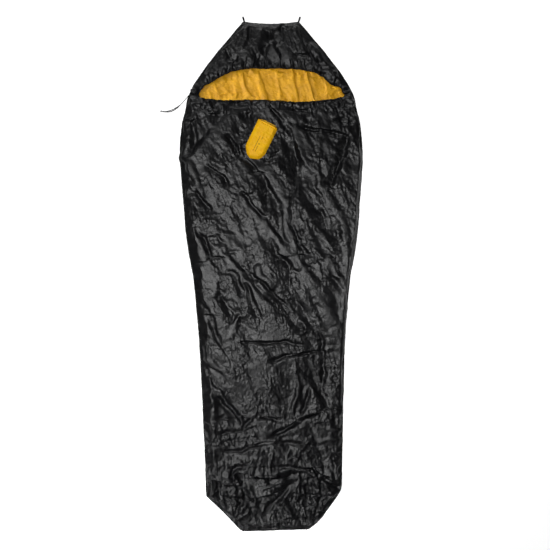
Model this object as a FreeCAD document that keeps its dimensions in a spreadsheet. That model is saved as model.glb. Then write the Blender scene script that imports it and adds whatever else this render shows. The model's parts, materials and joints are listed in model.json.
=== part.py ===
"""Hooded bivy sack, laid flat and empty, with its small stuff sack resting on the chest.

Row frame: +Z up, +Y from the foot to the head, +X to the wearer's left as the sack is seen from above.
The origin is on the ground, under the middle of the sack. Lengths are millimetres.

Every cloth piece is a thin solid. The sack turns up at two cross lines: the hood at the mouth, and the
foot at the seam of its end panel, so the cloth is divided there and each part belongs to one rigid body.
"""

import FreeCAD, Part
import Sketcher
import os
from math import cos, radians, sin, tan

from FreeCAD import Placement, Rotation, Vector

DIMENSIONS = {
    # cut outline of the sack, right half: distance from the centre line and place along the sack
    "head_half": 128, "head_y": 1144,
    "brow_half": 303, "brow_y": 943, "brow_round": 400,
    "mouth_half": 378, "mouth_y": 808, "mouth_round": 250,
    "shoulder_half": 417, "shoulder_y": 590, "shoulder_round": 500,
    "hip_half": 389, "hip_y": 200, "hip_round": 900,
    "waist_half": 352, "waist_y": -10, "waist_round": 900,
    "calf_half": 329, "calf_y": -270, "calf_round": 1200,
    "foot_half": 307, "foot_y": -960,
    "toe_half": 160, "toe_y": -1141,
    # cloth, seams and loft
    "cloth": 1.2, "lining": 0.8, "gap": 0.2,
    "seam_width": 8, "seam_height": 1.6, "flank_start": 9, "flank_run": 42,
    "crown": 22, "hood_crown": 19, "foot_crown": 20,
    # cross lines where the cloth turns up
    "lip_y": 799, "hood_hinge_y": 848, "hood_front_y": 864, "hinge_slot": 4,
    "foot_hinge_y": -937, "foot_slot": 5,
    # mouth opening and its drawcord tunnel
    "arch_y": 938, "arch_half": 118, "corner_half": 316, "arch_round": 60,
    "hem_outer": 4.2, "hem_bore": 2.4, "cord_radius": 1.2, "hem_half": 305,
    # drawcord tail: a straight run through the lock, then a curve down to the ground
    "exit_x": -349, "exit_y": 841, "tail_aim": -131, "tail_height": 9.8, "tail_tilt": 6,
    "tail_straight": 118, "tail_mid": 156, "tail_mid_drop": -24, "tail_end": 168,
    "tail_end_drop": -46, "tail_round": 60, "tail_end_round": 30, "strand_pitch": 2.5,
    "knot_radius": 4, "patch_length": 16, "patch_width": 10,
    # tie-out loops at the hood corners
    "loop_x": 122, "loop_lean": 17, "loop_length": 24, "loop_bend": 3.4,
    "loop_patch_length": 16, "loop_patch_width": 7,
    # cord lock: both locks are the same moulding
    "lock_radius": 5.5, "lock_bore": 3.75, "lock_back": 11, "lock_front": 8, "lock_wall": 1.2,
    "stem_radius": 3.7, "stem_end": 3.4, "cap_start": 11.2, "cap_end": 14.2, "cap_radius": 4.8,
    "slot_height": 5.4, "slot_tight": 1.25, "slot_loose": 1.7, "press_travel": 3,
    "spring_radius": 2.6, "spring_wire": 0.28, "spring_turns": 4, "lock_offset": 9,
    # stuff sack
    "sack_half": 47, "sack_top": 82, "sack_side": 42, "sack_corner": 26, "sack_bottom": 88,
    "sack_round": 18, "sack_x": -52, "sack_y": 609, "sack_turn": 26, "sack_loft": 13.8,
    "sack_run": 14, "sack_hem_outer": 3.2, "sack_cord_length": 46, "sack_lock_y": 60,
}


class Size:
    """A length that knows both its value and the spreadsheet expression that gives it."""

    def __init__(self, value, text):
        self.value, self.text = float(value), text

    def combined(self, other, sign, value):
        return Size(value, f"({self.text} {sign} {other.text})")

    def __add__(self, other):
        other = as_size(other)
        return self.combined(other, "+", self.value + other.value)

    def __sub__(self, other):
        other = as_size(other)
        return self.combined(other, "-", self.value - other.value)

    def __mul__(self, other):
        other = as_size(other)
        return self.combined(other, "*", self.value * other.value)

    def __truediv__(self, other):
        other = as_size(other)
        return self.combined(other, "/", self.value / other.value)

    def __neg__(self):
        return Size(-self.value, f"(0 - {self.text})")


def as_size(value):
    return value if isinstance(value, Size) else Size(value, f"({value:g})")


def cell(name):
    """The Size held by one spreadsheet cell."""
    return Size(DIMENSIONS[name], f"Dims.{name}")


def make_sheet(doc):
    sheet = doc.addObject("Spreadsheet::Sheet", "Dims")
    for row, (name, value) in enumerate(DIMENSIONS.items(), start=1):
        sheet.set(f"A{row}", name)
        sheet.set(f"B{row}", str(value))
        sheet.setAlias(f"B{row}", name)
    return sheet


# ---------------------------------------------------------------- bodies, sketches and features


def new_body(doc, label, placement=None):
    body = doc.addObject("PartDesign::Body", label)
    body.Label = label
    if placement is not None:
        body.Placement = placement
    return body


def new_sketch(body, name, plane="XY_Plane", height=None):
    """A sketch on one of the body's own origin planes, lifted along its normal by height."""
    sketch = body.newObject("Sketcher::SketchObject", name)
    support = next(f for f in body.Origin.OriginFeatures if f.Role == plane)
    sketch.AttachmentSupport = [(support, "")]
    sketch.MapMode = "FlatFace"
    if height is not None:
        sketch.AttachmentOffset = Placement(Vector(0, 0, height.value), Rotation())
        sketch.setExpression("AttachmentOffset.Base.z", height.text)
    return sketch


def fix_point(sketch, geometry, position, x, y):
    """Ties a sketch point to its x and y expressions."""
    for kind, size in (("DistanceX", x), ("DistanceY", y)):
        index = sketch.addConstraint(Sketcher.Constraint(kind, geometry, position, size.value))
        sketch.setExpression(f"Constraints[{index}]", size.text)


def rounded_corner(before, corner, after, radius):
    """Tangent points and the arc that rounds one corner of a polyline."""
    to_before = (before - corner).normalize()
    to_after = (after - corner).normalize()
    half_angle = to_before.getAngle(to_after) / 2
    reach = radius / tan(half_angle)
    centre = corner + (to_before + to_after).normalize() * (radius / sin(half_angle))
    start, end = corner + to_before * reach, corner + to_after * reach
    middle = centre + (corner - centre).normalize() * radius
    return start, end, Part.Arc(start, middle, end)


def draw_chain(sketch, corners, closed=True):
    """Draws a polyline whose corners are (x, y) or (x, y, radius), each bound to the spreadsheet."""
    points = [Vector(c[0].value, c[1].value, 0) for c in corners]
    count = len(corners)
    entering, leaving, arcs = list(points), list(points), {}
    for i, corner in enumerate(corners):
        if len(corner) == 3:
            start, end, arc = rounded_corner(
                points[i - 1], points[i], points[(i + 1) % count], corner[2].value)
            entering[i], leaving[i], arcs[i] = start, end, arc
    spans = range(count) if closed else range(count - 1)
    lines = {i: sketch.addGeometry(Part.LineSegment(leaving[i], entering[(i + 1) % count]), False)
             for i in spans}
    for i, corner in enumerate(corners):
        before, after = lines.get((i - 1) % count), lines.get(i)
        if i in arcs:
            round_corner(sketch, before, after, arcs[i], corner)
        elif before is None:
            fix_point(sketch, after, 1, corner[0], corner[1])
        elif after is None:
            fix_point(sketch, before, 2, corner[0], corner[1])
        else:
            sketch.addConstraint(Sketcher.Constraint("Coincident", before, 2, after, 1))
            fix_point(sketch, after, 1, corner[0], corner[1])


def round_corner(sketch, before, after, arc, corner):
    """Joins two lines by a tangent arc and keeps the lines aimed at the sharp corner."""
    arc_shape = arc.toShape().Curve
    round_id = sketch.addGeometry(
        Part.ArcOfCircle(arc_shape, arc.FirstParameter, arc.LastParameter), False)
    ends = (sketch.getPoint(round_id, 1), sketch.getPoint(round_id, 2))
    line_end = sketch.getPoint(before, 2)
    first, last = (1, 2) if (ends[0] - line_end).Length < (ends[1] - line_end).Length else (2, 1)
    sketch.addConstraint(Sketcher.Constraint("Tangent", before, 2, round_id, first))
    sketch.addConstraint(Sketcher.Constraint("Tangent", round_id, last, after, 1))
    index = sketch.addConstraint(Sketcher.Constraint("Radius", round_id, corner[2].value))
    sketch.setExpression(f"Constraints[{index}]", corner[2].text)
    apex = sketch.addGeometry(Part.Point(Vector(corner[0].value, corner[1].value, 0)), True)
    fix_point(sketch, apex, 1, corner[0], corner[1])
    sketch.addConstraint(Sketcher.Constraint("PointOnObject", apex, 1, before))
    sketch.addConstraint(Sketcher.Constraint("PointOnObject", apex, 1, after))


def draw_circle(sketch, radius, x=None, y=None):
    x, y = as_size(x or 0), as_size(y or 0)
    circle = sketch.addGeometry(
        Part.Circle(Vector(x.value, y.value, 0), Vector(0, 0, 1), radius.value), False)
    index = sketch.addConstraint(Sketcher.Constraint("Radius", circle, radius.value))
    sketch.setExpression(f"Constraints[{index}]", radius.text)
    fix_point(sketch, circle, 3, x, y)


def pad(body, sketch, length, midplane=False):
    feature = body.newObject("PartDesign::Pad", f"{body.Name}_pad")
    feature.Profile = sketch
    feature.Midplane = midplane
    feature.Length = length.value
    feature.setExpression("Length", length.text)
    return feature


def pocket_through(body, sketch, label):
    feature = body.newObject("PartDesign::Pocket", f"{body.Name}_{label}")
    feature.Profile = sketch
    feature.Type = "ThroughAll"
    feature.Midplane = True
    return feature


def loft(body, kind, label, sketches):
    feature = body.newObject(f"PartDesign::{kind}Loft", f"{body.Name}_{label}")
    feature.Profile = sketches[0]
    feature.Sections = sketches[1:]
    feature.Ruled = True
    return feature


def revolve(body, sketch):
    feature = body.newObject("PartDesign::Revolution", f"{body.Name}_turned")
    feature.Profile = sketch
    feature.ReferenceAxis = (sketch, ["H_Axis"])
    feature.Angle = 360
    return feature


def pipe(body, spine, circles, start_edge="Edge1"):
    """Sweeps concentric circles along the spine sketch, from the start of its first edge."""
    profile = body.newObject("Sketcher::SketchObject", f"{body.Name}_section")
    profile.AttachmentSupport = [(spine, start_edge)]
    profile.MapMode = "NormalToEdge"
    profile.MapPathParameter = 0
    for radius in circles:
        draw_circle(profile, radius)
    feature = body.newObject("PartDesign::AdditivePipe", f"{body.Name}_sweep")
    feature.Profile = profile
    feature.Spine = spine
    feature.Transition = "Round corner"
    return feature


# ---------------------------------------------------------------- outlines of the sack


def side_at(y):
    """Half width of the sack on the straight stretch between the brow and mouth corners."""
    run = (cell("mouth_half") - cell("brow_half")) / (cell("brow_y") - cell("mouth_y"))
    return cell("brow_half") + (cell("brow_y") - y) * run


def foot_side_at(y):
    """Half width of the sack on the straight stretch between the calf and the foot."""
    run = (cell("calf_half") - cell("foot_half")) / (cell("calf_y") - cell("foot_y"))
    return cell("foot_half") + (y - cell("foot_y")) * run


def body_side(inset, top_y, bottom_y, top_half):
    """Right edge of the main part, from the mouth down to the foot seam."""
    bends = [
        (cell(f"{name}_half") - inset, cell(f"{name}_y"), cell(f"{name}_round"))
        for name in ("shoulder", "hip", "waist", "calf")
    ]
    return [(top_half - inset, top_y)] + bends + [(foot_side_at(bottom_y) - inset, bottom_y)]


def hood_side(inset, bottom_y, head_inset):
    """Right edge of the hood, from its lower end up to the head edge."""
    return [
        (side_at(bottom_y) - inset, bottom_y),
        (cell("brow_half") - inset, cell("brow_y"), cell("brow_round")),
        (cell("head_half") - inset, cell("head_y") - head_inset),
    ]


def foot_side(inset, top_y, toe_inset):
    """Right edge of the foot, from its seam down to the toe edge."""
    return [
        (foot_side_at(top_y) - inset, top_y),
        (cell("foot_half") - inset, cell("foot_y")),
        (cell("toe_half") - inset, cell("toe_y") + toe_inset),
    ]


def both_sides(side):
    """Closes a right-hand edge with its mirror image."""
    mirrored = [(-c[0],) + tuple(c[1:]) for c in reversed(side)]
    return side + mirrored


def strip(side, width):
    """A band of the given width just inside one edge."""
    return side + [(c[0] - width, c[1]) + tuple(c[2:]) for c in reversed(side)]


def mirror_left(corners):
    return [(-c[0],) + tuple(c[1:]) for c in corners]


# ---------------------------------------------------------------- cloth pieces


def sheet_plate(doc, label, corners, base, thickness):
    body = new_body(doc, label)
    outline = new_sketch(body, f"{label}_outline", height=base)
    draw_chain(outline, corners)
    pad(body, outline, thickness)
    return body


def lofted_sheet(doc, label, outlines, base, crown, cut=None):
    """A cloth that rises from its seams to a flat crown: an outer loft less an inner loft.

    outlines(inset, spread) gives the plan at a distance in from the seam; spread lengthens the open
    ends, so that the inner loft runs out of them.
    """
    body = new_body(doc, label)
    wall = cell("cloth")
    start, run = cell("flank_start"), cell("flank_run")
    shell = (("outer", as_size(0), as_size(0), base, crown),
             ("inner", wall * 2, as_size(5), base - wall, crown - wall))
    for name, inset, spread, low, high in shell:
        lower = new_sketch(body, f"{label}_{name}_low", height=low)
        draw_chain(lower, outlines(start + inset, spread))
        upper = new_sketch(body, f"{label}_{name}_high", height=high)
        draw_chain(upper, outlines(start + run + inset / 2, spread))
        loft(body, "Additive" if name == "outer" else "Subtractive", name, [lower, upper])
    if cut is not None:
        opening = new_sketch(body, f"{label}_cut", height=base)
        draw_chain(opening, cut)
        pocket_through(body, opening, "opening")
    return body


def make_main_cloth(doc):
    """Floor, lining, top sheet and side seams between the mouth and the foot seam."""
    top_y = cell("hood_hinge_y") - cell("hinge_slot")
    foot_y = cell("foot_hinge_y") + cell("foot_slot")
    floor_side = [(side_at(top_y), top_y), (cell("mouth_half"), cell("mouth_y"), cell("mouth_round") / 2)]
    floor_side += body_side(as_size(0), top_y, foot_y, side_at(top_y))[1:]
    lined = cell("flank_start") + cell("cloth") * 7
    sheet_plate(doc, "floor_sheet", both_sides(floor_side), as_size(0), cell("cloth"))
    sheet_plate(doc, "floor_liner", both_sides(body_side(lined, top_y, foot_y, side_at(top_y))),
                cell("cloth") + cell("gap"), cell("lining"))
    seam = strip(floor_side, cell("seam_width"))
    for label, corners in (("right_side_seam", seam), ("left_side_seam", mirror_left(seam))):
        sheet_plate(doc, label, corners, cell("cloth") + cell("gap"), cell("seam_height"))

    def plan(inset, spread):
        return both_sides(body_side(inset, cell("lip_y") + spread, foot_y - spread, cell("mouth_half")))

    lofted_sheet(doc, "top_sheet", plan, cell("cloth") + cell("gap"), cell("crown"))


def make_hood_cloth(doc):
    """Floor, lining, hood panel and seams above the mouth."""
    bottom_y = cell("hood_hinge_y") + cell("hinge_slot")
    side = hood_side(as_size(0), bottom_y, as_size(0))
    base = cell("cloth") + cell("gap")
    lined = cell("flank_start") + cell("cloth") * 9
    sheet_plate(doc, "hood_floor", both_sides(side), as_size(0), cell("cloth"))
    sheet_plate(doc, "hood_liner", both_sides(hood_side(lined, bottom_y, lined)), base, cell("lining"))
    seam = strip(hood_side(as_size(0), bottom_y, cell("seam_width")), cell("seam_width"))
    for label, corners in (("right_hood_seam", seam), ("left_hood_seam", mirror_left(seam))):
        sheet_plate(doc, label, corners, base, cell("seam_height"))
    half = cell("head_half") - cell("seam_width")
    edge = [(half, cell("head_y") - cell("seam_width") + cell("gap")), (half, cell("head_y"))]
    sheet_plate(doc, "head_seam", both_sides(edge), base, cell("seam_height"))

    def plan(inset, spread):
        return both_sides(hood_side(inset, cell("hood_front_y") - spread, inset))

    arch = [
        (cell("corner_half"), cell("hood_front_y") - 20),
        (cell("corner_half") - 30, cell("hood_front_y")),
        (cell("arch_half"), cell("arch_y"), cell("arch_round")),
    ]
    lofted_sheet(doc, "hood_panel", plan, base, cell("hood_crown"), both_sides(arch))


def make_foot_cloth(doc):
    """Floor, end panel and seam of the foot."""
    top_y = cell("foot_hinge_y") - cell("foot_slot")
    side = foot_side(as_size(0), top_y, as_size(0))
    base = cell("cloth") + cell("gap")
    sheet_plate(doc, "foot_floor", both_sides(side), as_size(0), cell("cloth"))
    band = foot_side(as_size(0), top_y, as_size(0))
    inner = foot_side(cell("seam_width"), top_y, cell("seam_width"))
    ring = band + mirror_left(list(reversed(band))) + mirror_left(inner) + list(reversed(inner))
    sheet_plate(doc, "foot_seam", ring, base, cell("seam_height"))

    def plan(inset, spread):
        return both_sides(foot_side(inset, top_y + spread, inset))

    lofted_sheet(doc, "foot_panel", plan, base, cell("foot_crown"))


# ---------------------------------------------------------------- mouth drawcord and loops


def straight_tube(doc, label, circles, half_length, y, height):
    """A tube along X, centred on the sack."""
    body = new_body(doc, label)
    section = new_sketch(body, f"{label}_section", plane="YZ_Plane")
    for radius in circles:
        draw_circle(section, radius, y, height)
    pad(body, section, half_length * 2, midplane=True)
    return body


def bent_tube(doc, label, circles, corners, height, placement=None):
    body = new_body(doc, label, placement)
    spine = new_sketch(body, f"{label}_path", height=height)
    draw_chain(spine, corners, closed=False)
    doc.recompute()
    pipe(body, spine, circles)
    return body


def make_mouth_cord(doc):
    """The tunnel round the mouth, the cord in it, and the tail with its knot and exit patch."""
    hem_y = cell("lip_y") + cell("hem_outer") + cell("gap")
    hem_z = cell("crown") - cell("hem_outer")
    tunnel = [cell("hem_outer"), cell("hem_bore")]
    straight_tube(doc, "mouth_hem_lower", tunnel, cell("hem_half"), hem_y, hem_z)
    straight_tube(doc, "drawcord_lower", [cell("cord_radius")], cell("hem_half"), hem_y, hem_z)

    drop = cell("hem_outer") + cell("gap") * 2
    arch = [
        (-(cell("corner_half") - 34), cell("hood_front_y") - drop),
        (-cell("arch_half"), cell("arch_y") - drop, cell("arch_round")),
        (cell("arch_half"), cell("arch_y") - drop, cell("arch_round")),
        (cell("corner_half") - 34, cell("hood_front_y") - drop),
    ]
    arch_z = cell("hood_crown") - cell("hem_outer")
    bent_tube(doc, "mouth_hem_upper", tunnel, arch, arch_z)
    bent_tube(doc, "drawcord_upper", [cell("cord_radius")], arch, arch_z)
    make_tail(doc)


def tail_heading():
    """Unit vector along the straight run of the tail, from the exit outwards."""
    aim = radians(DIMENSIONS["tail_aim"])
    return Vector(cos(aim), sin(aim), 0)


def tail_point(along):
    """A point on the axis of the straight run, midway between the two strands."""
    start = Vector(DIMENSIONS["exit_x"], DIMENSIONS["exit_y"], DIMENSIONS["tail_height"])
    return start + tail_heading() * along


def make_tail(doc):
    corners = [
        (as_size(0), as_size(0)),
        (cell("tail_straight"), as_size(0), cell("tail_round")),
        (cell("tail_mid"), cell("tail_mid_drop"), cell("tail_end_round")),
        (cell("tail_end"), cell("tail_end_drop")),
    ]
    aim = Rotation(Vector(0, 0, 1), DIMENSIONS["tail_aim"])
    tilt = Rotation(Vector(1, 0, 0), DIMENSIONS["tail_tilt"])
    strands = []
    for name, side in (("lower", -0.5), ("upper", 0.5)):
        lift = Vector(0, 0, side * DIMENSIONS["strand_pitch"])
        place = Placement(tail_point(0) + lift, aim * tilt)
        strands.append(
            bent_tube(doc, f"tail_strand_{name}", [cell("cord_radius")], corners, as_size(0), place))
    group(doc, "drawcord_tail", strands)

    last = Vector(DIMENSIONS["tail_end"] - DIMENSIONS["tail_mid"],
                  DIMENSIONS["tail_end_drop"] - DIMENSIONS["tail_mid_drop"], 0).normalize()
    end = Vector(DIMENSIONS["tail_end"], DIMENSIONS["tail_end_drop"], 0)
    end += last * (DIMENSIONS["knot_radius"] + DIMENSIONS["gap"])
    make_knot(doc, "drawcord_knot", Placement(tail_point(0), aim * tilt).multVec(end))

    base_z = DIMENSIONS["cloth"] + DIMENSIONS["gap"] * 2 + DIMENSIONS["seam_height"]
    place = tail_point(DIMENSIONS["lock_offset"])
    place.z = base_z
    body = new_body(doc, "cord_exit_patch", Placement(place, aim))
    sketch = new_sketch(body, "cord_exit_patch_outline")
    half_length, half_width = cell("patch_length") / 2, cell("patch_width") / 2
    corner = cell("patch_width") / 4
    draw_chain(sketch, [
        (-half_length, -half_width, corner), (half_length, -half_width, corner),
        (half_length, half_width, corner), (-half_length, half_width, corner),
    ])
    pad(body, sketch, cell("lining"))


def make_knot(doc, label, centre):
    knot = doc.addObject("Part::Sphere", label)
    knot.Label = label
    knot.setExpression("Radius", "Dims.knot_radius")
    knot.Placement = Placement(centre, Rotation())


def group(doc, label, members):
    """Several solids that are one piece."""
    compound = doc.addObject("Part::Compound", label)
    compound.Links = members
    compound.Label = label


def make_tie_loops(doc):
    """Cord loops sewn into both corners of the head edge, each with its reinforcing patch."""
    bend, length = cell("loop_bend"), cell("loop_length")
    turn = bend * 0.85
    height = DIMENSIONS["cloth"] + DIMENSIONS["gap"] + DIMENSIONS["cord_radius"]
    for name, side in (("right", 1), ("left", -1)):
        corners = [
            (-bend, as_size(0)), (-bend, length, turn), (bend, length, turn), (bend, as_size(0)),
        ]
        lean = Rotation(Vector(0, 0, 1), -side * DIMENSIONS["loop_lean"])
        place = Vector(side * DIMENSIONS["loop_x"], DIMENSIONS["head_y"] + 2.5, height)
        bent_tube(doc, f"{name}_tie_loop", [cell("cord_radius")], corners, as_size(0), Placement(place, lean))

        half_x, half_y = cell("loop_patch_length") / 2, cell("loop_patch_width") / 2
        x = (cell("head_half") - half_x - cell("cloth")) * side
        y = cell("head_y") - cell("seam_width") / 2
        patch_base = cell("cloth") + cell("gap") * 2 + cell("seam_height")
        sheet_plate(doc, f"{name}_loop_patch", [
            (x - half_x, y - half_y), (x + half_x, y - half_y),
            (x + half_x, y + half_y), (x - half_x, y + half_y),
        ], patch_base, cell("lining"))


# ---------------------------------------------------------------- cord locks


def make_lock(doc, prefix, placement):
    """A sprung barrel lock. Its local X is the barrel's axis and the cord runs along local Y."""
    barrel = new_body(doc, f"{prefix}_barrel", placement)
    turned = new_sketch(barrel, f"{prefix}_barrel_half")
    floor = -(cell("lock_back") - cell("lock_wall"))
    draw_chain(turned, [
        (-cell("lock_back"), as_size(0)), (-cell("lock_back"), cell("lock_radius"), cell("lock_wall")),
        (cell("lock_front"), cell("lock_radius"), cell("lock_wall") / 2),
        (cell("lock_front"), cell("lock_bore")), (floor, cell("lock_bore")), (floor, as_size(0)),
    ])
    revolve(barrel, turned)
    cord_slot(barrel, f"{prefix}_barrel", -cell("slot_loose"), cell("slot_tight"))

    button = new_body(doc, f"{prefix}_button", placement)
    stem = new_sketch(button, f"{prefix}_button_half")
    draw_chain(stem, [
        (-cell("stem_end"), as_size(0)), (-cell("stem_end"), cell("stem_radius")),
        (cell("cap_start"), cell("stem_radius")), (cell("cap_start"), cell("cap_radius")),
        (cell("cap_end"), cell("cap_radius"), cell("lock_wall")), (cell("cap_end"), as_size(0)),
    ])
    revolve(button, stem)
    cord_slot(button, f"{prefix}_button", -cell("slot_tight"), cell("slot_tight") + cell("press_travel"))

    spring = new_body(doc, f"{prefix}_spring", placement)
    wire = new_sketch(spring, f"{prefix}_spring_wire")
    margin = cell("spring_wire") + 0.05
    start = -(cell("lock_back") - cell("lock_wall") - margin)
    draw_circle(wire, cell("spring_wire"), start, cell("spring_radius"))
    coil = spring.newObject("PartDesign::AdditiveHelix", f"{prefix}_spring_coil")
    coil.Profile = wire
    coil.ReferenceAxis = (wire, ["H_Axis"])
    coil.Mode = "height-turns-angle"
    height = -cell("stem_end") - margin - start
    coil.Height = height.value
    coil.Turns = DIMENSIONS["spring_turns"]
    coil.setExpression("Height", height.text)
    coil.setExpression("Turns", "Dims.spring_turns")


def cord_slot(body, label, low, high):
    """The opening for the cord, through the piece along local Y."""
    sketch = new_sketch(body, f"{label}_slot", plane="XZ_Plane")
    half = cell("slot_height") / 2
    draw_chain(sketch, [(low, -half), (high, -half), (high, half), (low, half)])
    pocket_through(body, sketch, "cord_slot")


def make_mouth_lock(doc):
    across = Rotation(Vector(0, 0, 1), DIMENSIONS["tail_aim"] + 90)
    make_lock(doc, "mouth_lock", Placement(tail_point(DIMENSIONS["lock_offset"]), across))


# ---------------------------------------------------------------- stuff sack


def sack_frame(x=0.0, y=0.0, z=0.0):
    """Placement of a point given in the stuff sack's own frame, whose Y runs up the sack."""
    turn = Rotation(Vector(0, 0, 1), -DIMENSIONS["sack_turn"])
    lift = DIMENSIONS["crown"] + 0.8
    return Placement(Vector(DIMENSIONS["sack_x"], DIMENSIONS["sack_y"], lift), turn) * Placement(
        Vector(x, y, z), Rotation())


def sack_outline(inset, top):
    """Plan of the stuff sack, with the bottom corners cut away."""
    side = [
        (cell("sack_half") - inset, top),
        (cell("sack_half") - inset, -cell("sack_side"), cell("sack_round")),
        (cell("sack_corner") - inset / 2, -cell("sack_bottom") + inset, cell("sack_round") / 2),
    ]
    return both_sides(side)


def make_stuff_sack(doc):
    wall, top = cell("lining"), cell("sack_top")
    back = new_body(doc, "sack_back", sack_frame())
    outline = new_sketch(back, "sack_back_outline")
    draw_chain(outline, sack_outline(as_size(0), top))
    pad(back, outline, wall)

    front = new_body(doc, "sack_front", sack_frame())
    base = wall + cell("gap")
    shell = (("outer", as_size(0), as_size(0), base, cell("sack_loft")),
             ("inner", wall * 2, as_size(4), base - wall, cell("sack_loft") - wall))
    for name, inset, spread, low, high in shell:
        lower = new_sketch(front, f"sack_{name}_low", height=low)
        draw_chain(lower, sack_outline(inset, top + spread))
        upper = new_sketch(front, f"sack_{name}_high", height=high)
        draw_chain(upper, sack_outline(inset + cell("sack_run"), top + spread))
        loft(front, "Additive" if name == "outer" else "Subtractive", name, [lower, upper])

    outer, bore, cord = cell("sack_hem_outer"), cell("hem_bore") - 0.4, cell("cord_radius")
    hem_y, hem_z = top + outer + cell("gap"), cell("sack_loft") / 2
    hem = new_body(doc, "sack_hem", sack_frame())
    section = new_sketch(hem, "sack_hem_section", plane="YZ_Plane")
    draw_circle(section, outer, hem_y, hem_z)
    draw_circle(section, bore, hem_y, hem_z)
    pad(hem, section, cell("sack_half") * 2, midplane=True)

    ring = new_body(doc, "sack_cord_ring", sack_frame())
    section = new_sketch(ring, "sack_cord_ring_section", plane="YZ_Plane")
    draw_circle(section, cord, hem_y, hem_z)
    pad(ring, section, cell("sack_half") * 2 - 4, midplane=True)

    lock_z = (DIMENSIONS["sack_loft"] + DIMENSIONS["gap"]) / 2
    strands = []
    for name, side in (("lower", -0.5), ("upper", 0.5)):
        strand = new_body(doc, f"sack_strand_{name}", sack_frame())
        section = new_sketch(strand, f"sack_strand_{name}_section", plane="XZ_Plane",
                             height=cell("gap") - top)
        draw_circle(section, cord, as_size(0), cell("strand_pitch") * side + lock_z)
        pad(strand, section, cell("sack_cord_length"))
        strands.append(strand)
    group(doc, "sack_cord", [ring] + strands)

    make_lock(doc, "sack_lock", sack_frame(0, DIMENSIONS["sack_lock_y"], lock_z))
    end_y = DIMENSIONS["sack_top"] - DIMENSIONS["sack_cord_length"] - DIMENSIONS["knot_radius"]
    end = sack_frame(0, end_y - DIMENSIONS["gap"] * 2, lock_z)
    make_knot(doc, "sack_cord_knot", end.Base)


# ---------------------------------------------------------------- output

GROUPED = ("tail_strand_lower", "tail_strand_upper", "sack_cord_ring", "sack_strand_lower",
           "sack_strand_upper")
PIECE_TYPES = ("PartDesign::Body", "Part::Compound", "Part::Sphere")


def main():
    doc = FreeCAD.newDocument("bivy_sack")
    make_sheet(doc)
    make_main_cloth(doc)
    make_hood_cloth(doc)
    make_foot_cloth(doc)
    make_mouth_cord(doc)
    make_tie_loops(doc)
    make_mouth_lock(doc)
    make_stuff_sack(doc)
    doc.recompute()

    failed = [o.Name for o in doc.Objects if "Invalid" in o.State or "Error" in o.State]
    pieces = [o for o in doc.Objects if o.TypeId in PIECE_TYPES and o.Label not in GROUPED]
    failed += [o.Label for o in pieces if o.Shape.isNull() or not o.Shape.isValid() or not o.Shape.Solids]
    if failed:
        raise RuntimeError(f"these objects did not build: {sorted(set(failed))}")

    os.makedirs("parts", exist_ok=True)
    for piece in pieces:
        piece.Shape.exportStep(os.path.join("parts", f"{piece.Label}.step"))
        box = piece.Shape.BoundBox
        print(f"{piece.Label:20s} solids {len(piece.Shape.Solids)}  volume {piece.Shape.Volume:12.1f}"
              f"  z {box.ZMin:6.2f} to {box.ZMax:6.2f}")


main()
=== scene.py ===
"""Looks of the hooded bivy sack, laid flat and empty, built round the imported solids.

The two cloths are relaxed on grids: every edge of a grid is given a longer rest length than its flat one,
so that the cloth buckles into folds between its sewn edges. Lengths are metres, in the frame of the solids;
tables that say so are in millimetres and are turned into metres where they are written.
"""
import functools
import json
import math

import bpy
import numpy as np
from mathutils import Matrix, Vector


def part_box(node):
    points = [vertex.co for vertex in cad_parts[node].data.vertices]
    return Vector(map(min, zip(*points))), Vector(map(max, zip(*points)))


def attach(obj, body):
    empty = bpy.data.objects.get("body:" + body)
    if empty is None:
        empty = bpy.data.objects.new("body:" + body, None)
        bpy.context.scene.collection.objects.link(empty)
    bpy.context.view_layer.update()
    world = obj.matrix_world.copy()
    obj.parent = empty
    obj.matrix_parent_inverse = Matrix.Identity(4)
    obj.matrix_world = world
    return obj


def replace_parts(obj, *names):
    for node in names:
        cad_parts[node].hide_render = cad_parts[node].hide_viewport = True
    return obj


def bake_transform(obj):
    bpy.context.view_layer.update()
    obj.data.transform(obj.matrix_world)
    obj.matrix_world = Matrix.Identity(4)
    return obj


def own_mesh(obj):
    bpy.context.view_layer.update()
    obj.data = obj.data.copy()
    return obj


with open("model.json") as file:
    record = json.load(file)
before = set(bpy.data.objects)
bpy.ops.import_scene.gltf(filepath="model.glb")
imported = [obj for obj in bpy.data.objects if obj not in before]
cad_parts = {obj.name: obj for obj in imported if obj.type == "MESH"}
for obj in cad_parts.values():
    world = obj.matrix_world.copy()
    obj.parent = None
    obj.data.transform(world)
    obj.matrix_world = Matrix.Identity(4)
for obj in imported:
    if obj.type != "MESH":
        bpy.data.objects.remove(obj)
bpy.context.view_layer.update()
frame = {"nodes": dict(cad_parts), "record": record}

# ------------------------------------------------------------------ outline of the sack

# Place along the sack, left edge and right edge, in millimetres.
OUTLINE = np.array([
    (-1141, -126, 158), (-1136, -138, 174), (-1122, -155, 192), (-1085, -190, 229), (-1060, -216, 246),
    (-990, -293, 296), (-960, -296, 313), (-905, -297, 318), (-844, -298, 318), (-709, -305, 321),
    (-574, -311, 323), (-439, -317, 327), (-331, -323, 329), (-223, -331, 335), (-115, -341, 344),
    (0, -352, 355), (100, -372, 375), (209, -388, 390), (317, -395, 397), (425, -405, 405),
    (505, -410, 410), (533, -418, 411), (560, -413, 410), (614, -412, 408), (695, -402, 399),
    (750, -388, 384), (805, -378, 374), (857, -355, 351), (911, -319, 316), (965, -280, 275),
    (1019, -238, 234), (1073, -191, 187), (1127, -146, 142), (1149, -127, 121)]) / 1000
FOOT_Y, SEAM_Y, HEAD_Y = -1.141, -0.907, 1.149
CORNER_Y = 0.817                           # ends of the mouth, where its two lips are sewn together
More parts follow.
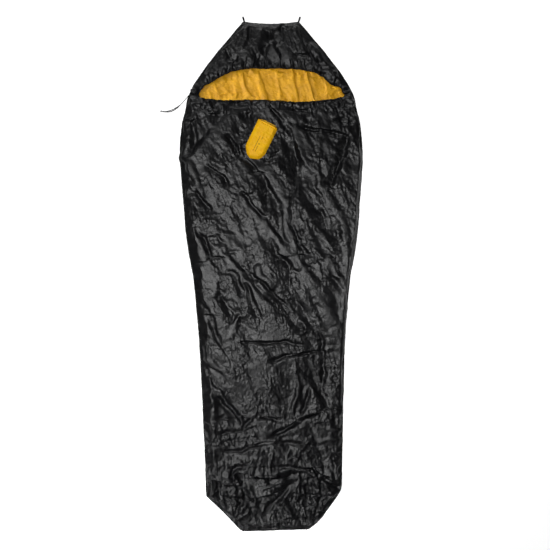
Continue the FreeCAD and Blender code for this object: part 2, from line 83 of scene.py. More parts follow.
# The mouth's two lips, in millimetres, from its left end to its right end.
UPPER_LIP = np.array([
    (-327, 817), (-322, 838), (-306, 858), (-267, 877), (-227, 902), (-181, 922), (-118, 936), (-55, 938),
    (94, 937), (152, 927), (198, 917), (234, 899), (250, 880), (270, 864), (296, 858), (314, 850),
    (322, 836), (326, 817)]) / 1000
LOWER_LIP = np.array([
    (-327, 817), (-321, 804), (-296, 796), (-198, 788), (-100, 792), (20, 786), (123, 780), (232, 787),
    (296, 797), (319, 806), (326, 817)]) / 1000
CROWN = 0.0195                             # height of the empty sack's top cloth
EDGE_Z = 0.0022                            # height of the sewn edge
CEILING = 0.031                            # highest place of a ridge


def outline_at(y):
    """Left and right edge at a place along the sack, softened between the listed points."""
    fine = np.linspace(FOOT_Y, HEAD_Y, 1200)
    kernel = np.hanning(17)
    keep = np.clip(np.minimum(fine - (FOOT_Y + 0.20), HEAD_Y - fine) / 0.03, 0, 1)
    still = 0 * fine
    edges = []
    for column in (1, 2):
        edge = np.interp(fine, OUTLINE[:, 0], OUTLINE[:, column])
        soft = np.convolve(np.pad(edge, 8, mode="edge"), kernel / kernel.sum(), "valid")
        wavy = 0.0022 * perlin(fine, still, 0.060, column) + 0.0012 * perlin(fine, still, 0.022, column + 4)
        edges.append(np.interp(y, fine, edge * (1 - keep) + (soft + wavy) * keep))
    return edges


def end_line(x, y):
    """The row y with the head edge's hollow and the foot edge's waviness."""
    up_the_hood = np.clip((y - CORNER_Y) / (HEAD_Y - CORNER_Y), 0, 1)
    head = -0.010 * (1 - np.clip(np.abs(x) / 0.124, 0, 1) ** 2) * up_the_hood ** 3
    head = head + 0.002 * perlin(x, 0 * x, 0.040, 7) * np.clip((y - HEAD_Y) / 0.05 + 1, 0, 1)
    near_foot = np.clip(1 - (y - FOOT_Y) / 0.12, 0, 1)
    foot = -0.006 + 0.008 * ease(x, -0.08, 0.14) + 0.0025 * perlin(x, 0 * x, 0.045, 8)
    return y + head + foot * near_foot


def ease(v, low, high):
    t = np.clip((v - low) / (high - low), 0, 1)
    return t * t * (3 - 2 * t)


def half_width(y):
    left, right = outline_at(y)
    return (right - left) / 2


def centre_x(y):
    left, right = outline_at(y)
    return (right + left) / 2


def upper_lip(x):
    """Place along the sack of the upper edge of the mouth."""
    return np.interp(x, UPPER_LIP[:, 0], UPPER_LIP[:, 1])


def lower_lip(x):
    return np.interp(x, LOWER_LIP[:, 0], LOWER_LIP[:, 1])


def mouth_columns(x):
    """Which points of a row lie between the ends of the mouth."""
    return (x > UPPER_LIP[0, 0] + 0.002) & (x < UPPER_LIP[-1, 0] - 0.002)


# ------------------------------------------------------------------ noise


def perlin(x, y, scale, seed):
    """Gradient noise of about -0.7 to 0.7."""
    rng = np.random.default_rng(seed)
    angle = rng.uniform(0, 2 * math.pi, (128, 128))
    gx, gy = np.cos(angle), np.sin(angle)
    px, py = np.asarray(x, float) / scale + 400.0, np.asarray(y, float) / scale + 400.0
    ix, iy = np.floor(px).astype(int), np.floor(py).astype(int)
    fx, fy = px - ix, py - iy

    def corner(dx, dy):
        a, b = (ix + dx) % 128, (iy + dy) % 128
        return gx[a, b] * (fx - dx) + gy[a, b] * (fy - dy)

    sx, sy = fx ** 3 * (fx * (fx * 6 - 15) + 10), fy ** 3 * (fy * (fy * 6 - 15) + 10)
    low = corner(0, 0) * (1 - sx) + corner(1, 0) * sx
    high = corner(0, 1) * (1 - sx) + corner(1, 1) * sx
    return low * (1 - sy) + high * sy


def turned(x, y, degrees, stretch):
    """Coordinates along and across a direction, shortened along it so that noise is drawn out that way."""
    a = math.radians(degrees)
    return (x * math.cos(a) + y * math.sin(a)) / stretch, -x * math.sin(a) + y * math.cos(a)


def creases(x, y, scale, seed):
    """Sharp little ridges: 0 on flat cloth, up to 1 on a crest."""
    n = np.abs(perlin(x, y, scale, seed)) * 2.2
    return np.clip(1 - n, 0, 1) ** 2


def near_path(x, y, points):
    """Distance to a polyline, side of it (1 on the right hand of the way it runs) and distance along it."""
    points = np.asarray(points, float)
    before = 0.0
    near = np.full(x.shape, 1e9)
    side, along = np.zeros(x.shape), np.zeros(x.shape)
    for (px, py), (dx, dy) in zip(points, np.diff(points, axis=0)):
        length = math.hypot(dx, dy)
        ux, uy = dx / length, dy / length
        t = np.clip((x - px) * ux + (y - py) * uy, 0, length)
        ox, oy = x - px - ux * t, y - py - uy * t
        away = np.hypot(ox, oy)
        closer = away < near
        near = np.where(closer, away, near)
        side = np.where(closer, np.sign(ox * uy - oy * ux), side)
        along = np.where(closer, before + t, along)
        before += length
    return near, side, along, before


def fold(x, y, points, width, height, skew=0.0):
    """A sharp fold along a polyline, fading at both ends. A negative height is a valley.

    skew widens the side on the right hand of the way the polyline runs, and narrows the other.
    """
    near, side, along, total = near_path(x, y, points)
    fade = np.clip(np.minimum(along, total - along) / total * 5 + 0.15, 0, 1)
    return height * fade * np.clip(1 - near / (width * (1 + skew * side)), 0, 1) ** 1.4


def facets(x, y, scale, seed, warp=0.16):
    """Flat little facets that meet at sharp creases, like paper that was crumpled and opened again."""
    rng = np.random.default_rng(seed)
    heights = rng.uniform(-1, 1, (64, 64))
    px = x / scale + warp * perlin(x, y, scale * 2.3, seed + 1) * 2 + 500.0
    py = y / scale * 1.15 + px * 0.5 + warp * perlin(x, y, scale * 2.3, seed + 2) * 2 + 500.0
    i, j = np.floor(px).astype(int), np.floor(py).astype(int)
    fx, fy = px - i, py - j
    i, j = i % 64, j % 64
    near, far = heights[i, j], heights[(i + 1) % 64, (j + 1) % 64]
    right, up = heights[(i + 1) % 64, j], heights[i, (j + 1) % 64]
    first = near + fx * (right - near) + fy * (far - right)
    second = near + fy * (up - near) + fx * (far - up)
    return np.where(fx > fy, first, second)


# ------------------------------------------------------------------ cloth relaxing


def families(shape):
    """Index pairs of the grid's edges, split so that no vertex is in one pass twice."""
    ny, nx = shape
    passes = []
    for di, dj in ((0, 1), (1, 0), (1, 1), (1, -1)):
        low, high = max(0, -dj), nx - max(0, dj)
        for parity in (0, 1):
            if di:
                a = (slice(parity, ny - 1, 2), slice(low, high))
                b = (slice(parity + 1, ny, 2), slice(low + dj, high + dj))
            else:
                a = (slice(0, ny), slice(parity, nx - 1, 2))
                b = (slice(0, ny), slice(parity + 1, nx, 2))
            passes.append((a, b))
    return passes


class Sheet:
    """One cloth on a grid: flat plan, growth tensor (xx, xy, yy), target height and free points."""

    def __init__(self, plan, growth, target, free, hold=0.004, stiff=0.012, lip=None):
        self.plan, self.growth, self.target, self.free = plan, growth, target, free
        self.hold, self.stiff, self.lip = hold, stiff, lip

    def level(self, stride, points=None):
        pick = (slice(None, None, stride), slice(None, None, stride))
        self.shape = self.plan[pick].shape[:2]
        flat = np.dstack([self.plan[pick], self.target[pick]]).astype(np.float32)
        self.height = self.target[pick].astype(np.float32)
        if self.lip is not None:
            row, columns = self.lip
            self.lip_row, self.lip_columns = row, columns[::stride]
            self.lip_plan = flat[row, self.lip_columns, :2].copy()
        self.weight = self.free[pick].astype(np.float32)
        if points is None:
            self.p = flat.copy()
        else:
            self.p = upsample(points, self.shape)
            coarse = upsample(self.target[::stride * 2, ::stride * 2, None], self.shape)[..., 0]
            self.p[..., 2] += (self.height - coarse) * self.weight
            fixed = self.weight < 0.5
            self.p[fixed] = flat[fixed]
        self.passes = []
        g = [c[pick].astype(np.float32) for c in self.growth]
        for a, b in families(self.shape):
            d = flat[b] - flat[a]
            length = np.sqrt((d ** 2).sum(2))
            e = d / length[..., None]
            gxx, gxy, gyy = ((c[a] + c[b]) / 2 for c in g)
            grown = gxx * e[..., 0] ** 2 + 2 * gxy * e[..., 0] * e[..., 1] + gyy * e[..., 1] ** 2
            wa, wb = self.weight[a], self.weight[b]
            total = np.maximum(wa + wb, 1e-6)
            self.passes.append((a, b, length, grown, (wa / total)[..., None], (wb / total)[..., None]))

    def step(self, share, floor, roof):
        p = self.p
        for a, b, length, grown, wa, wb in self.passes:
            d = p[b] - p[a]
            now = np.sqrt((d * d).sum(2))
            d *= (1 - length * (1 + share * grown) / np.maximum(now, 1e-7))[..., None]
            p[a] += d * wa
            p[b] -= d * wb
        z = p[..., 2]
        lap = laplacian(z)
        lap /= 1 + np.abs(lap) / 0.004
        z -= self.stiff * laplacian(lap) * self.weight * 4
        z += (self.height - z) * self.hold * self.weight
        np.clip(z, floor, roof, out=z)
        if self.lip is not None:
            p[self.lip_row, self.lip_columns, :2] = self.lip_plan


def laplacian(z):
    out = np.zeros_like(z)
    out[1:-1, :] += z[2:, :] + z[:-2, :] - 2 * z[1:-1, :]
    out[:, 1:-1] += z[:, 2:] + z[:, :-2] - 2 * z[:, 1:-1]
    return out


def upsample(points, shape):
    ny, nx = shape
    r, c = np.linspace(0, points.shape[0] - 1, ny), np.linspace(0, points.shape[1] - 1, nx)
    r0, c0 = np.minimum(r.astype(int), points.shape[0] - 2), np.minimum(c.astype(int), points.shape[1] - 2)
    fr, fc = (r - r0)[:, None, None], (c - c0)[None, :, None]
    rows = points[r0] * (1 - fr) + points[r0 + 1] * fr
    return (rows[:, c0] * (1 - fc) + rows[:, c0 + 1] * fc).astype(np.float32)


def relax(sheets, join, plan_steps, floor, roof, seed):
    """Relaxes sheets together, coarse to fine, and welds them with join after each step.

    plan_steps lists, for each level, the stride through the grid, the number of steps and the jitter.
    """
    rng = np.random.default_rng(seed)
    points = [None] * len(sheets)
    for stride, steps, jitter in plan_steps:
        for i, sheet in enumerate(sheets):
            sheet.level(stride, points[i])
            bump = rng.normal(0, jitter, sheet.shape).astype(np.float32)
            sheet.p[..., 2] += bump * sheet.weight
        for k in range(steps):
            share = min(1.0, 0.3 + 0.9 * k / steps) if stride == plan_steps[0][0] else 1.0
            for sheet in sheets:
                sheet.step(share, floor, roof)
            join(sheets, stride)
        points = [s.p for s in sheets]
    return points


# ------------------------------------------------------------------ meshes


def grid_faces(ny, nx):
    i, j = np.meshgrid(np.arange(ny - 1), np.arange(nx - 1), indexing="ij")
    a = i * nx + j
    return np.stack([a, a + 1, a + nx + 1, a + nx], -1).reshape(-1, 4)


def mesh_object(name, points, faces, uv):
    mesh = bpy.data.meshes.new(name)
    points = np.ascontiguousarray(points, np.float32).reshape(-1, 3)
    faces = np.ascontiguousarray(faces, np.int32)
    mesh.vertices.add(len(points))
    mesh.vertices.foreach_set("co", points.ravel())
    mesh.loops.add(faces.size)
    mesh.loops.foreach_set("vertex_index", faces.ravel())
    mesh.polygons.add(len(faces))
    mesh.polygons.foreach_set("loop_start", np.arange(0, faces.size, faces.shape[1], dtype=np.int32))
    mesh.polygons.foreach_set("use_smooth", np.full(len(faces), True))
    mesh.update(calc_edges=True)
    layer = mesh.uv_layers.new(name="plan")
    layer.data.foreach_set("uv", np.asarray(uv, np.float32).reshape(-1, 2)[faces.ravel()].ravel())
    mesh.validate()
    ob = bpy.data.objects.new(name, mesh)
    bpy.context.scene.collection.objects.link(ob)
    return ob


def tube_points(path, radius, sides=10, flat=1.0, across=(0.0, 0.0, 1.0)):
    """A closed tube along a path: points, faces and UV (metres along it, share of the way round).

    across is a direction that the path never runs along.
    """
    path = np.asarray(path, float)
    n = len(path)
    tangent = np.gradient(path, axis=0)
    tangent /= np.linalg.norm(tangent, axis=1)[:, None]
    side = np.cross(tangent, across)
    side /= np.linalg.norm(side, axis=1)[:, None]
    up = np.cross(side, tangent)
    angle = np.linspace(0, 2 * math.pi, sides, endpoint=False)
    r = np.broadcast_to(np.asarray(radius, float), (n, sides))
    out, over = np.cos(angle) * r, np.sin(angle) * r * flat
    ring = side[:, None] * out[..., None] + up[:, None] * over[..., None]
    points = (path[:, None] + ring).reshape(-1, 3)
    i, j = np.meshgrid(np.arange(n - 1), np.arange(sides), indexing="ij")
    here, ahead, k = i * sides, (i + 1) * sides, (j + 1) % sides
    faces = np.stack([here + k, here + j, ahead + j, ahead + k], -1).reshape(-1, 4)
    caps = []
    for row, order in ((0, -1), (n - 1, 1)):
        ids = (row * sides + np.arange(sides))[::order]
        for m in range(1, sides // 2):
            caps.append([ids[m - 1], ids[m], ids[sides - m - 1], ids[sides - m]])
    along = np.concatenate([[0], np.cumsum(np.linalg.norm(np.diff(path, axis=0), axis=1))])
    uv = np.stack(np.broadcast_arrays(along[:, None], angle[None, :] / (2 * math.pi)), -1).reshape(-1, 2)
    return points, np.vstack([faces, np.array(caps)]), uv


def join_meshes(parts):
    """Points, faces and UV of several meshes put in one."""
    points, faces, uvs, count = [], [], [], 0
    for p, f, uv in parts:
        points.append(p)
        faces.append(f + count)
        uvs.append(uv)
        count += len(p)
    return np.vstack(points), np.vstack(faces), np.vstack(uvs)


def smoothed(path, times):
    """A path whose inner points are averaged with their neighbours, a number of times."""
    path = np.array(path, float)
    for _ in range(times):
        path[1:-1] = (path[:-2] + 2 * path[1:-1] + path[2:]) / 4
    return path


def tube_noise(count, spacing, sides, around, pitch, seed):
    """Noise for the cloth of a tube: a value for each point of its path and each of its sides."""
    along = np.arange(count)[:, None] * spacing
    angle = np.linspace(0, 1, sides, endpoint=False)[None, :] * around
    return perlin(along + 0 * angle, angle + 0 * along, pitch, seed)


def resample(path, spacing):
    path = np.asarray(path, float)
    along = np.concatenate([[0], np.cumsum(np.linalg.norm(np.diff(path, axis=0), axis=1))])
    at = np.linspace(0, along[-1], max(4, int(along[-1] / spacing)))
    return np.stack([np.interp(at, along, path[:, k]) for k in range(3)], -1)


# ------------------------------------------------------------------ the top cloth

COLS, FOOT_ROWS, BODY_ROWS, HOOD_ROWS = 240, 100, 508, 96
HOOD_BEND = ("hood", 0.803, 0.893)
FOOT_BEND = ("foot", SEAM_Y, -0.967)
SACK_FRAME = (-0.052, 0.609, math.radians(-26))  # middle and turn of the stuff sack
SACK_HALF = (0.050, 0.094)                 # half its width and length, with a little room
LOCK_PLACE = (-0.356, 0.835)               # middle of the mouth's cord lock


def tensor(shape):
    return [np.zeros(shape), np.zeros(shape), np.zeros(shape)]


def grow(field, degrees, amount):
    """Adds growth along one direction; amount is a number or an array."""
    c, s = math.cos(math.radians(degrees)), math.sin(math.radians(degrees))
    field[0] += amount * c * c
    field[1] += amount * c * s
    field[2] += amount * s * s


def bell(v, centre, width):
    return np.exp(-(((v - centre) / width) ** 2))


def edge_distance(x, y):
    """Distance in from the sewn outline."""
    slope = (half_width(y + 0.004) - half_width(y - 0.004)) / 0.008
    side = (half_width(y) - np.abs(x - centre_x(y))) / np.sqrt(1 + slope ** 2)
    return np.minimum(np.minimum(side, HEAD_Y - y), y - FOOT_Y)


def flank(x, y):
    """Width of the sloping band inside the seam: widest on the left of the body, narrow at head and foot."""
    wander = 0.75 + 0.7 * perlin(y, 0 * y, 0.14, 23)
    left = 0.022 + 0.018 * wander * ease(y, -0.96, -0.86) * (1 - ease(y, 0.84, 0.95))
    right = 0.022 - 0.007 * ease(y, -0.80, -0.70) * (1 - ease(y, 0.55, 0.68))
    return np.where(x < 0, left, right)


def rise(d, run):
    """Height share of the top cloth: a straight slope from the seam to a plateau."""
    t = np.clip((d - 0.004) / run, 0, 1)
    return t ** 0.85


def in_sack_frame(x, y):
    ox, oy, a = SACK_FRAME
    dx, dy = x - ox, y - oy
    return dx * math.cos(a) + dy * math.sin(a), -dx * math.sin(a) + dy * math.cos(a)


def sack_clearance(x, y):
    """Distance outside a box round the stuff sack, 0 under it."""
    u, v = in_sack_frame(x, y)
    return np.hypot(np.maximum(np.abs(u) - SACK_HALF[0], 0), np.maximum(np.abs(v - 0.001) - SACK_HALF[1], 0))


def ceiling(x, y):
    """Highest place the top cloth may take, under the stuff sack and under the mouth's cord lock."""
    under_sack = 0.0222 + 0.7 * sack_clearance(x, y)
    from_lock = np.hypot(x - LOCK_PLACE[0], y - LOCK_PLACE[1])
    under_lock = 0.0034 + 0.6 * np.maximum(from_lock - 0.016, 0)
    return np.minimum(np.minimum(under_sack, under_lock), CEILING)


def top_plan():
    """Flat plans of the cloth below the mouth and of the hood's cloth; they meet beside the mouth."""
    u = np.linspace(-1, 1, COLS + 1)[None, :]
    rows = np.concatenate([np.linspace(FOOT_Y, SEAM_Y, FOOT_ROWS + 1)[:-1],
                           np.linspace(SEAM_Y, CORNER_Y, BODY_ROWS + 1)])[:, None]
    x = centre_x(rows) + u * half_width(rows)
    fall = np.clip(1 - (CORNER_Y - rows) / 0.12, 0, 1) ** 2
    wide = centre_x(CORNER_Y) + u * half_width(CORNER_Y)
    lower = np.stack([x, end_line(x, rows) + (lower_lip(wide) - CORNER_Y) * fall], -1)

    rows = np.linspace(CORNER_Y, HEAD_Y, HOOD_ROWS + 1)[:, None]
    x = centre_x(rows) + u * half_width(rows)
    t = (rows - CORNER_Y) / (HEAD_Y - CORNER_Y)
    upper = np.stack([x, end_line(x, rows) + (upper_lip(wide) - CORNER_Y) * (1 - t)], -1)
    return lower, upper


def in_metres(listed):
    """Folds listed in millimetres, turned into metres."""
    return [([(x / 1000, y / 1000) for x, y in points], width / 1000, height / 1000, *skew)
            for points, width, height, *skew in listed]


# Folds in millimetres: points from the head end to the foot end, width, height and, where one side of the
# fold is wider than the other, its skew.
CHEST_FOLDS = in_metres([
    ([(-135, 760), (-235, 665), (-365, 528)], 55, 10, -0.5),
    ([(-372, 722), (-346, 665), (-340, 610), (-356, 560), (-372, 528)], 45, -6, 0.4),
    ([(396, 500), (389, 400), (381, 280), (368, 150)], 50, 7, 0.6),
    ([(-85, 735), (-105, 650), (-120, 590)], 60, -6, 0.5),
    ([(-365, 528), (-336, 442), (-300, 330)], 26, 8, 0.2),
    ([(-204, 642), (-130, 545), (-36, 452)], 20, -11, 0.4),
    ([(-290, 500), (-215, 445), (-190, 400)], 16, -6, 0.3),
    ([(75, 750), (105, 690), (140, 560), (185, 450)], 50, 9, -0.15),
    ([(18, 690), (60, 620), (100, 500)], 46, -5),
    ([(345, 640), (310, 520), (255, 395)], 32, -11, 0.3),
    ([(240, 760), (205, 690), (230, 620)], 70, 6, -0.4),
    ([(50, 490), (-30, 470), (-100, 490)], 35, 6, 0.5),
    ([(245, 620), (262, 550), (292, 500)], 20, 9, 0.4),
    ([(55, 765), (170, 735), (240, 710), (365, 686)], 22, -9),
    ([(60, 700), (160, 660), (240, 650), (350, 620)], 20, -8),
    ([(115, 770), (185, 728), (290, 700)], 24, 8),
    ([(205, 440), (262, 355), (325, 245), (342, 120)], 30, 11, 0.3),
    ([(92, 640), (106, 560), (114, 480), (102, 400), (90, 310)], 18, -6),
    ([(-135, 388), (-85, 320), (-24, 255)], 16, -7, 0.2),
    ([(-342, 388), (-305, 340), (-268, 288)], 16, -8, 0.2),
    ([(-60, 520), (20, 440), (70, 330), (85, 200), (130, 85)], 36, 10, 0.45),
    ([(-10, 770), (40, 700), (85, 640)], 22, -8),
    ([(-245, 740), (-330, 725), (-372, 700)], 18, 6),
    ([(30, 560), (-10, 520), (-45, 505)], 20, -6),
])
MIDDLE_FOLDS = in_metres([
    ([(-90, 335), (-21, 229), (48, 143), (117, 86), (152, 29), (192, -35), (232, -115), (297, -213),
      (284, -290)], 36, 12, 0.4),
    ([(-239, 130), (-170, 52), (-101, -29), (-20, -132), (14, -218), (48, -262)], 32, 11, 0.35),
    ([(-61, 60), (-55, -23), (-12, -85)], 22, 8, 0.2),
    ([(-345, 205), (-285, 69), (-244, -46), (-279, -115), (-204, -250)], 28, 10, 0.35),
    ([(-320, 200), (-290, 160), (-262, 60)], 14, -7, 0.2),
    ([(-150, -165), (-187, -285)], 20, 8, -0.2),
    ([(252, 110), (289, 23), (332, -50)], 24, 9, 0.3),
    ([(342, 120), (335, -58), (318, -230), (303, -344)], 24, 8, 0.1),
    ([(70, 290), (110, 180), (170, 80)], 18, -9),
    ([(-75, -294), (-32, -301), (60, -292), (146, -306)], 13, -8),
    ([(-20, -386), (50, -366), (110, -354), (205, -338)], 12, -9),
    ([(215, -250), (226, -340), (234, -431), (222, -520)], 18, -9),
    ([(-312, -362), (-227, -419), (-130, -508)], 24, 8, -0.2),
    ([(-310, -400), (-262, -470), (-235, -520)], 16, -7),
    ([(-92, -390), (-60, -450), (-30, -510)], 20, 8, 0.3),
    ([(190, 130), (240, 70), (262, -10)], 20, 6),
    ([(120, -180), (155, -235), (110, -292)], 26, 7),
    ([(-150, 60), (-120, -60), (-95, -180)], 20, 6, 0.2),
])
LOW_FOLDS = in_metres([
    ([(-45, -440), (-5, -510), (35, -560)], 18, 8),
    ([(130, -480), (112, -540), (82, -630)], 18, 9, 0.2),
    ([(175, -500), (150, -570), (130, -620)], 14, -7),
    ([(-130, -690), (-118, -664), (-85, -641), (-8, -632)], 14, -9),
    ([(232, -606), (190, -622), (134, -640), (90, -672), (24, -702), (-16, -724)], 18, -14, -0.3),
    ([(215, -590), (150, -612), (80, -650), (20, -680)], 22, 7),
    ([(-205, -790), (-120, -772), (-63, -755), (41, -746), (204, -760)], 15, -10),
    ([(-255, -638), (-150, -640)], 8, -4),
    ([(-230, -700), (-120, -690), (-40, -676)], 9, -5),
    ([(-295, -750), (-180, -738), (-80, -722)], 9, -5),
    ([(30, -722), (120, -716)], 10, -5),
    ([(-250, -540), (-200, -600), (-135, -660)], 26, -6),
    ([(270, -560), (262, -660), (275, -760)], 18, 7),
    ([(-262, -530), (-258, -640), (-262, -760)], 20, 6),
    ([(190, -720), (130, -780), (110, -830)], 16, 7),
    ([(-60, -780), (-85, -840)], 14, 6),
    ([(10, -780), (-10, -860)], 12, 6),
])
FOOT_FOLDS = in_metres([
    ([(-140, -885), (-128, -930), (-118, -1000), (-140, -1030)], 26, -14),
    ([(-205, -960), (-196, -1020), (-180, -1060)], 20, -10),
    ([(75, -918), (40, -942), (-8, -975), (-50, -985)], 34, 12, 0.5),
    ([(80, -948), (48, -985), (0, -1030), (-34, -1082)], 18, -13),
    ([(52, -990), (74, -1040), (100, -1090)], 40, 9, 0.6),
    ([(128, -905), (122, -970), (112, -1020)], 14, 9, 0.3),
    ([(160, -930), (158, -1000), (150, -1050)], 18, -11),
    ([(-102, -930), (-78, -990), (-60, -1060)], 22, 7, 0.3),
    ([(-75, -905), (-10, -912), (35, -900), (110, -896)], 18, -12),
    ([(-100, -884), (-50, -892), (30, -884)], 14, 9),
    ([(206, -880), (262, -930), (310, -960)], 26, -12),
    ([(262, -880), (276, -905), (272, -925)], 18, 8, 0.3),
    ([(-280, -880), (-240, -940), (-232, -1000)], 24, -8),
])
# Thin sharp puckers of the foot end.
FOOT_PUCKERS = in_metres([
    ([(194, -890), (208, -950), (236, -1066)], 11, 3.6),
    ([(186, -960), (214, -1010), (232, -1050)], 9, 2.6),
    ([(232, -930), (256, -962), (276, -998)], 12, 3.6),
    ([(244, -975), (262, -970), (280, -985)], 9.5, 2.6),
    ([(190, -995), (212, -985), (232, -974)], 9, 2.4),
    ([(206, -1040), (222, -1005), (240, -985)], 8, 2.2),
    ([(140, -1020), (150, -1070), (142, -1110)], 12, 3.6),
    ([(166, -1060), (178, -1090), (162, -1115)], 10, 2.6),
    ([(-284, -990), (-258, -974), (-230, -956)], 8, 2.8),
    ([(-262, -1010), (-240, -1020), (-225, -1040)], 9.5, 2.6),
    ([(-180, -1030), (-176, -1070), (-150, -1088), (-106, -1060), (-98, -1030)], 11, 3.4),
    ([(-170, -1090), (-120, -1105), (-80, -1120)], 9, 2.2),
    ([(-66, -1126), (-20, -1104), (36, -1097), (88, -1108)], 10, 3.6),
    ([(-40, -1132), (10, -1116), (62, -1114), (110, -1124)], 9, 3.2),
    ([(-90, -1118), (-70, -1135)], 9, 2.4),
    ([(30, -1006), (46, -1034)], 5, 2.5),
    ([(-40, -958), (10, -940), (52, -930)], 5, 3),
    ([(-96, -842), (-80, -812)], 4.5, 3),
    ([(70, -804), (86, -770)], 9, 2.4),
    ([(76, -818), (120, -800), (170, -786)], 4.5, 3),
    ([(-70, -888), (-10, -884), (40, -892)], 7, 3.5),
])
HOOD_FOLDS = in_metres([
    ([(-6, 1052), (16, 1012), (44, 970)], 46, 7, 0.55),
    ([(-14, 1050), (-36, 1000), (-52, 960)], 45, -5),
    ([(-40, 1128), (-52, 1060), (-78, 1010), (-130, 982)], 50, 6, 0.15),
    ([(46, 1138), (48, 1090), (52, 1050)], 30, -4),
    ([(108, 1130), (125, 1060), (150, 985)], 30, 9, 0.5),
    ([(-108, 1130), (-118, 1060), (-140, 1010)], 20, 8, 0.4),
    ([(157, 946), (249, 934), (300, 884)], 16, 7),
    ([(100, 1000), (180, 985), (250, 950)], 22, -8),
    ([(-292, 925), (-262, 905), (-235, 910)], 16, 8),
    ([(-205, 1030), (-190, 985), (-150, 960)], 24, -7),
    ([(10, 1102), (16, 1066), (40, 1036)], 38, -9),
    ([(-70, 1118), (0, 1110), (50, 1116)], 14, 5),
    ([(180, 1050), (200, 1010), (235, 960)], 18, 7, 0.3),
])
LINING_FOLDS = in_metres([
    ([(-66, 935), (-45, 870), (-12, 795)], 24, 9, 0.5),
    ([(92, 935), (100, 860), (122, 795)], 20, 8, 0.4),
    ([(155, 925), (165, 870), (188, 795)], 18, 6, 0.2),
    ([(-267, 873), (-250, 845), (-236, 815)], 16, 6, 0.3),
    ([(-130, 930), (-120, 860), (-85, 800)], 16, 5, 0.3),
    ([(-190, 905), (-160, 850), (-150, 800)], 16, 4),
    ([(20, 930), (30, 870), (50, 800)], 18, 4, 0.2),
    ([(235, 890), (255, 850), (240, 800)], 14, 5),
    ([(290, 850), (270, 830), (250, 815)], 12, 4),
])


def strayed(x, y):
    """Coordinates moved a few millimetres, so that no fold runs dead straight."""
    return x + 0.0080 * perlin(x, y, 0.042, 21), y + 0.0080 * perlin(x, y, 0.042, 22)


def folds(x, y, listed):
    return sum(fold(*strayed(x, y), *one) for one in listed)


def long_folds(x, y):
    """A loose field of diagonal folds, leaning from upper left to lower right."""
    rng = np.random.default_rng(12)
    z = np.zeros(x.shape)
    x, y = strayed(x, y)
    for _ in range(30):
        cx, cy = rng.uniform(-0.30, 0.30), rng.uniform(-0.58, 0.62)
        lean, length = math.radians(rng.normal(-62, 12)), rng.uniform(0.08, 0.26)
        dx, dy = math.cos(lean) * length / 2, math.sin(lean) * length / 2
        bow = rng.normal(0, 0.012)
        z += fold(x, y, [(cx - dx, cy - dy), (cx + bow, cy), (cx + dx, cy + dy)][::-1 if dy > 0 else 1],
                  rng.uniform(0.016, 0.034), rng.uniform(0.004, 0.009) * rng.choice([1, 1, -1]), 0.35)
    return z


def puckers(along, away, pitch, reach, seed):
    """Short gathers that run away from a gathered edge."""
    return perlin(along, away * 0.22, pitch, seed) * np.exp(-np.maximum(away, 0) / reach)


# The puckered seam of the foot end, in millimetres, from its left end to its right end.
FOOT_SEAM = np.array([
    (-176, -1100), (-140, -1020), (-146, -950), (-180, -900), (-168, -868), (-140, -853), (-20, -858),
    (80, -852), (178, -864), (206, -890), (222, -960), (215, -1030), (190, -1100)]) / 1000


def top_height(x, y, part):
    """Wanted height of the top cloth, before it relaxes."""
    d = edge_distance(x, y)
    run = flank(x, y)
    crown = CROWN * (1 - 0.62 * ease(-y, 0.88, 1.10) - 0.25 * ease(y, 1.02, 1.13))
    flat = EDGE_Z + (crown - EDGE_Z) * rise(d, run)
    inside = ease(d, 0.5 * run, 1.25 * run)
    if part == "lower":
        z = 1.5 * folds(x, y, CHEST_FOLDS) + 1.1 * folds(x, y, MIDDLE_FOLDS)
        z = z + folds(x, y, LOW_FOLDS + FOOT_FOLDS)
        z = z + long_folds(x, y) * (1 - 0.25 * bell(y, 0.0, 0.35))
        seam, side, along, _ = near_path(x, y, FOOT_SEAM)
        z = z - (0.007 + 0.006 * perlin(along, 0 * along, 0.050, 66)) * bell(seam, 0, 0.008)
        z = z + 0.004 * bell(seam * side, 0.020, 0.012)
        lip = lower_lip(x) - y
    else:
        z = folds(x, y, HOOD_FOLDS)
        lip = y - upper_lip(x)
    z = z - 0.004 * bell(lip, 0, 0.02)
    along = turned(x, y, -60, 2.4)
    calm = 1 - 0.8 * smooth_hood(x, y)
    broad = 0.0070 * facets(*along, 0.070, 40) * ease(d, 0.03, 0.09) * calm
    z += broad + 0.0025 * facets(*along, 0.034, 41) * calm
    z += 0.0080 * perlin(*along, 0.110, 42) * ease(d, 0.02, 0.08) * calm
    z *= 1 - 0.75 * bell(sack_clearance(x, y), 0, 0.03)
    z = soft_limit(flat + inside * z, 0.022, CEILING)
    return np.maximum(-soft_limit(-z, -0.50 * flat, -0.25 * flat), EDGE_Z)


def soft_limit(z, knee, top):
    """Bends heights above the knee over, so that they stay under the top without a plateau.

    With all three signs turned round it keeps heights above a bottom in the same way.
    """
    over = np.maximum(z - knee, 0)
    room = top - knee
    return np.where(z > knee, knee + room * over / (room + over), z)


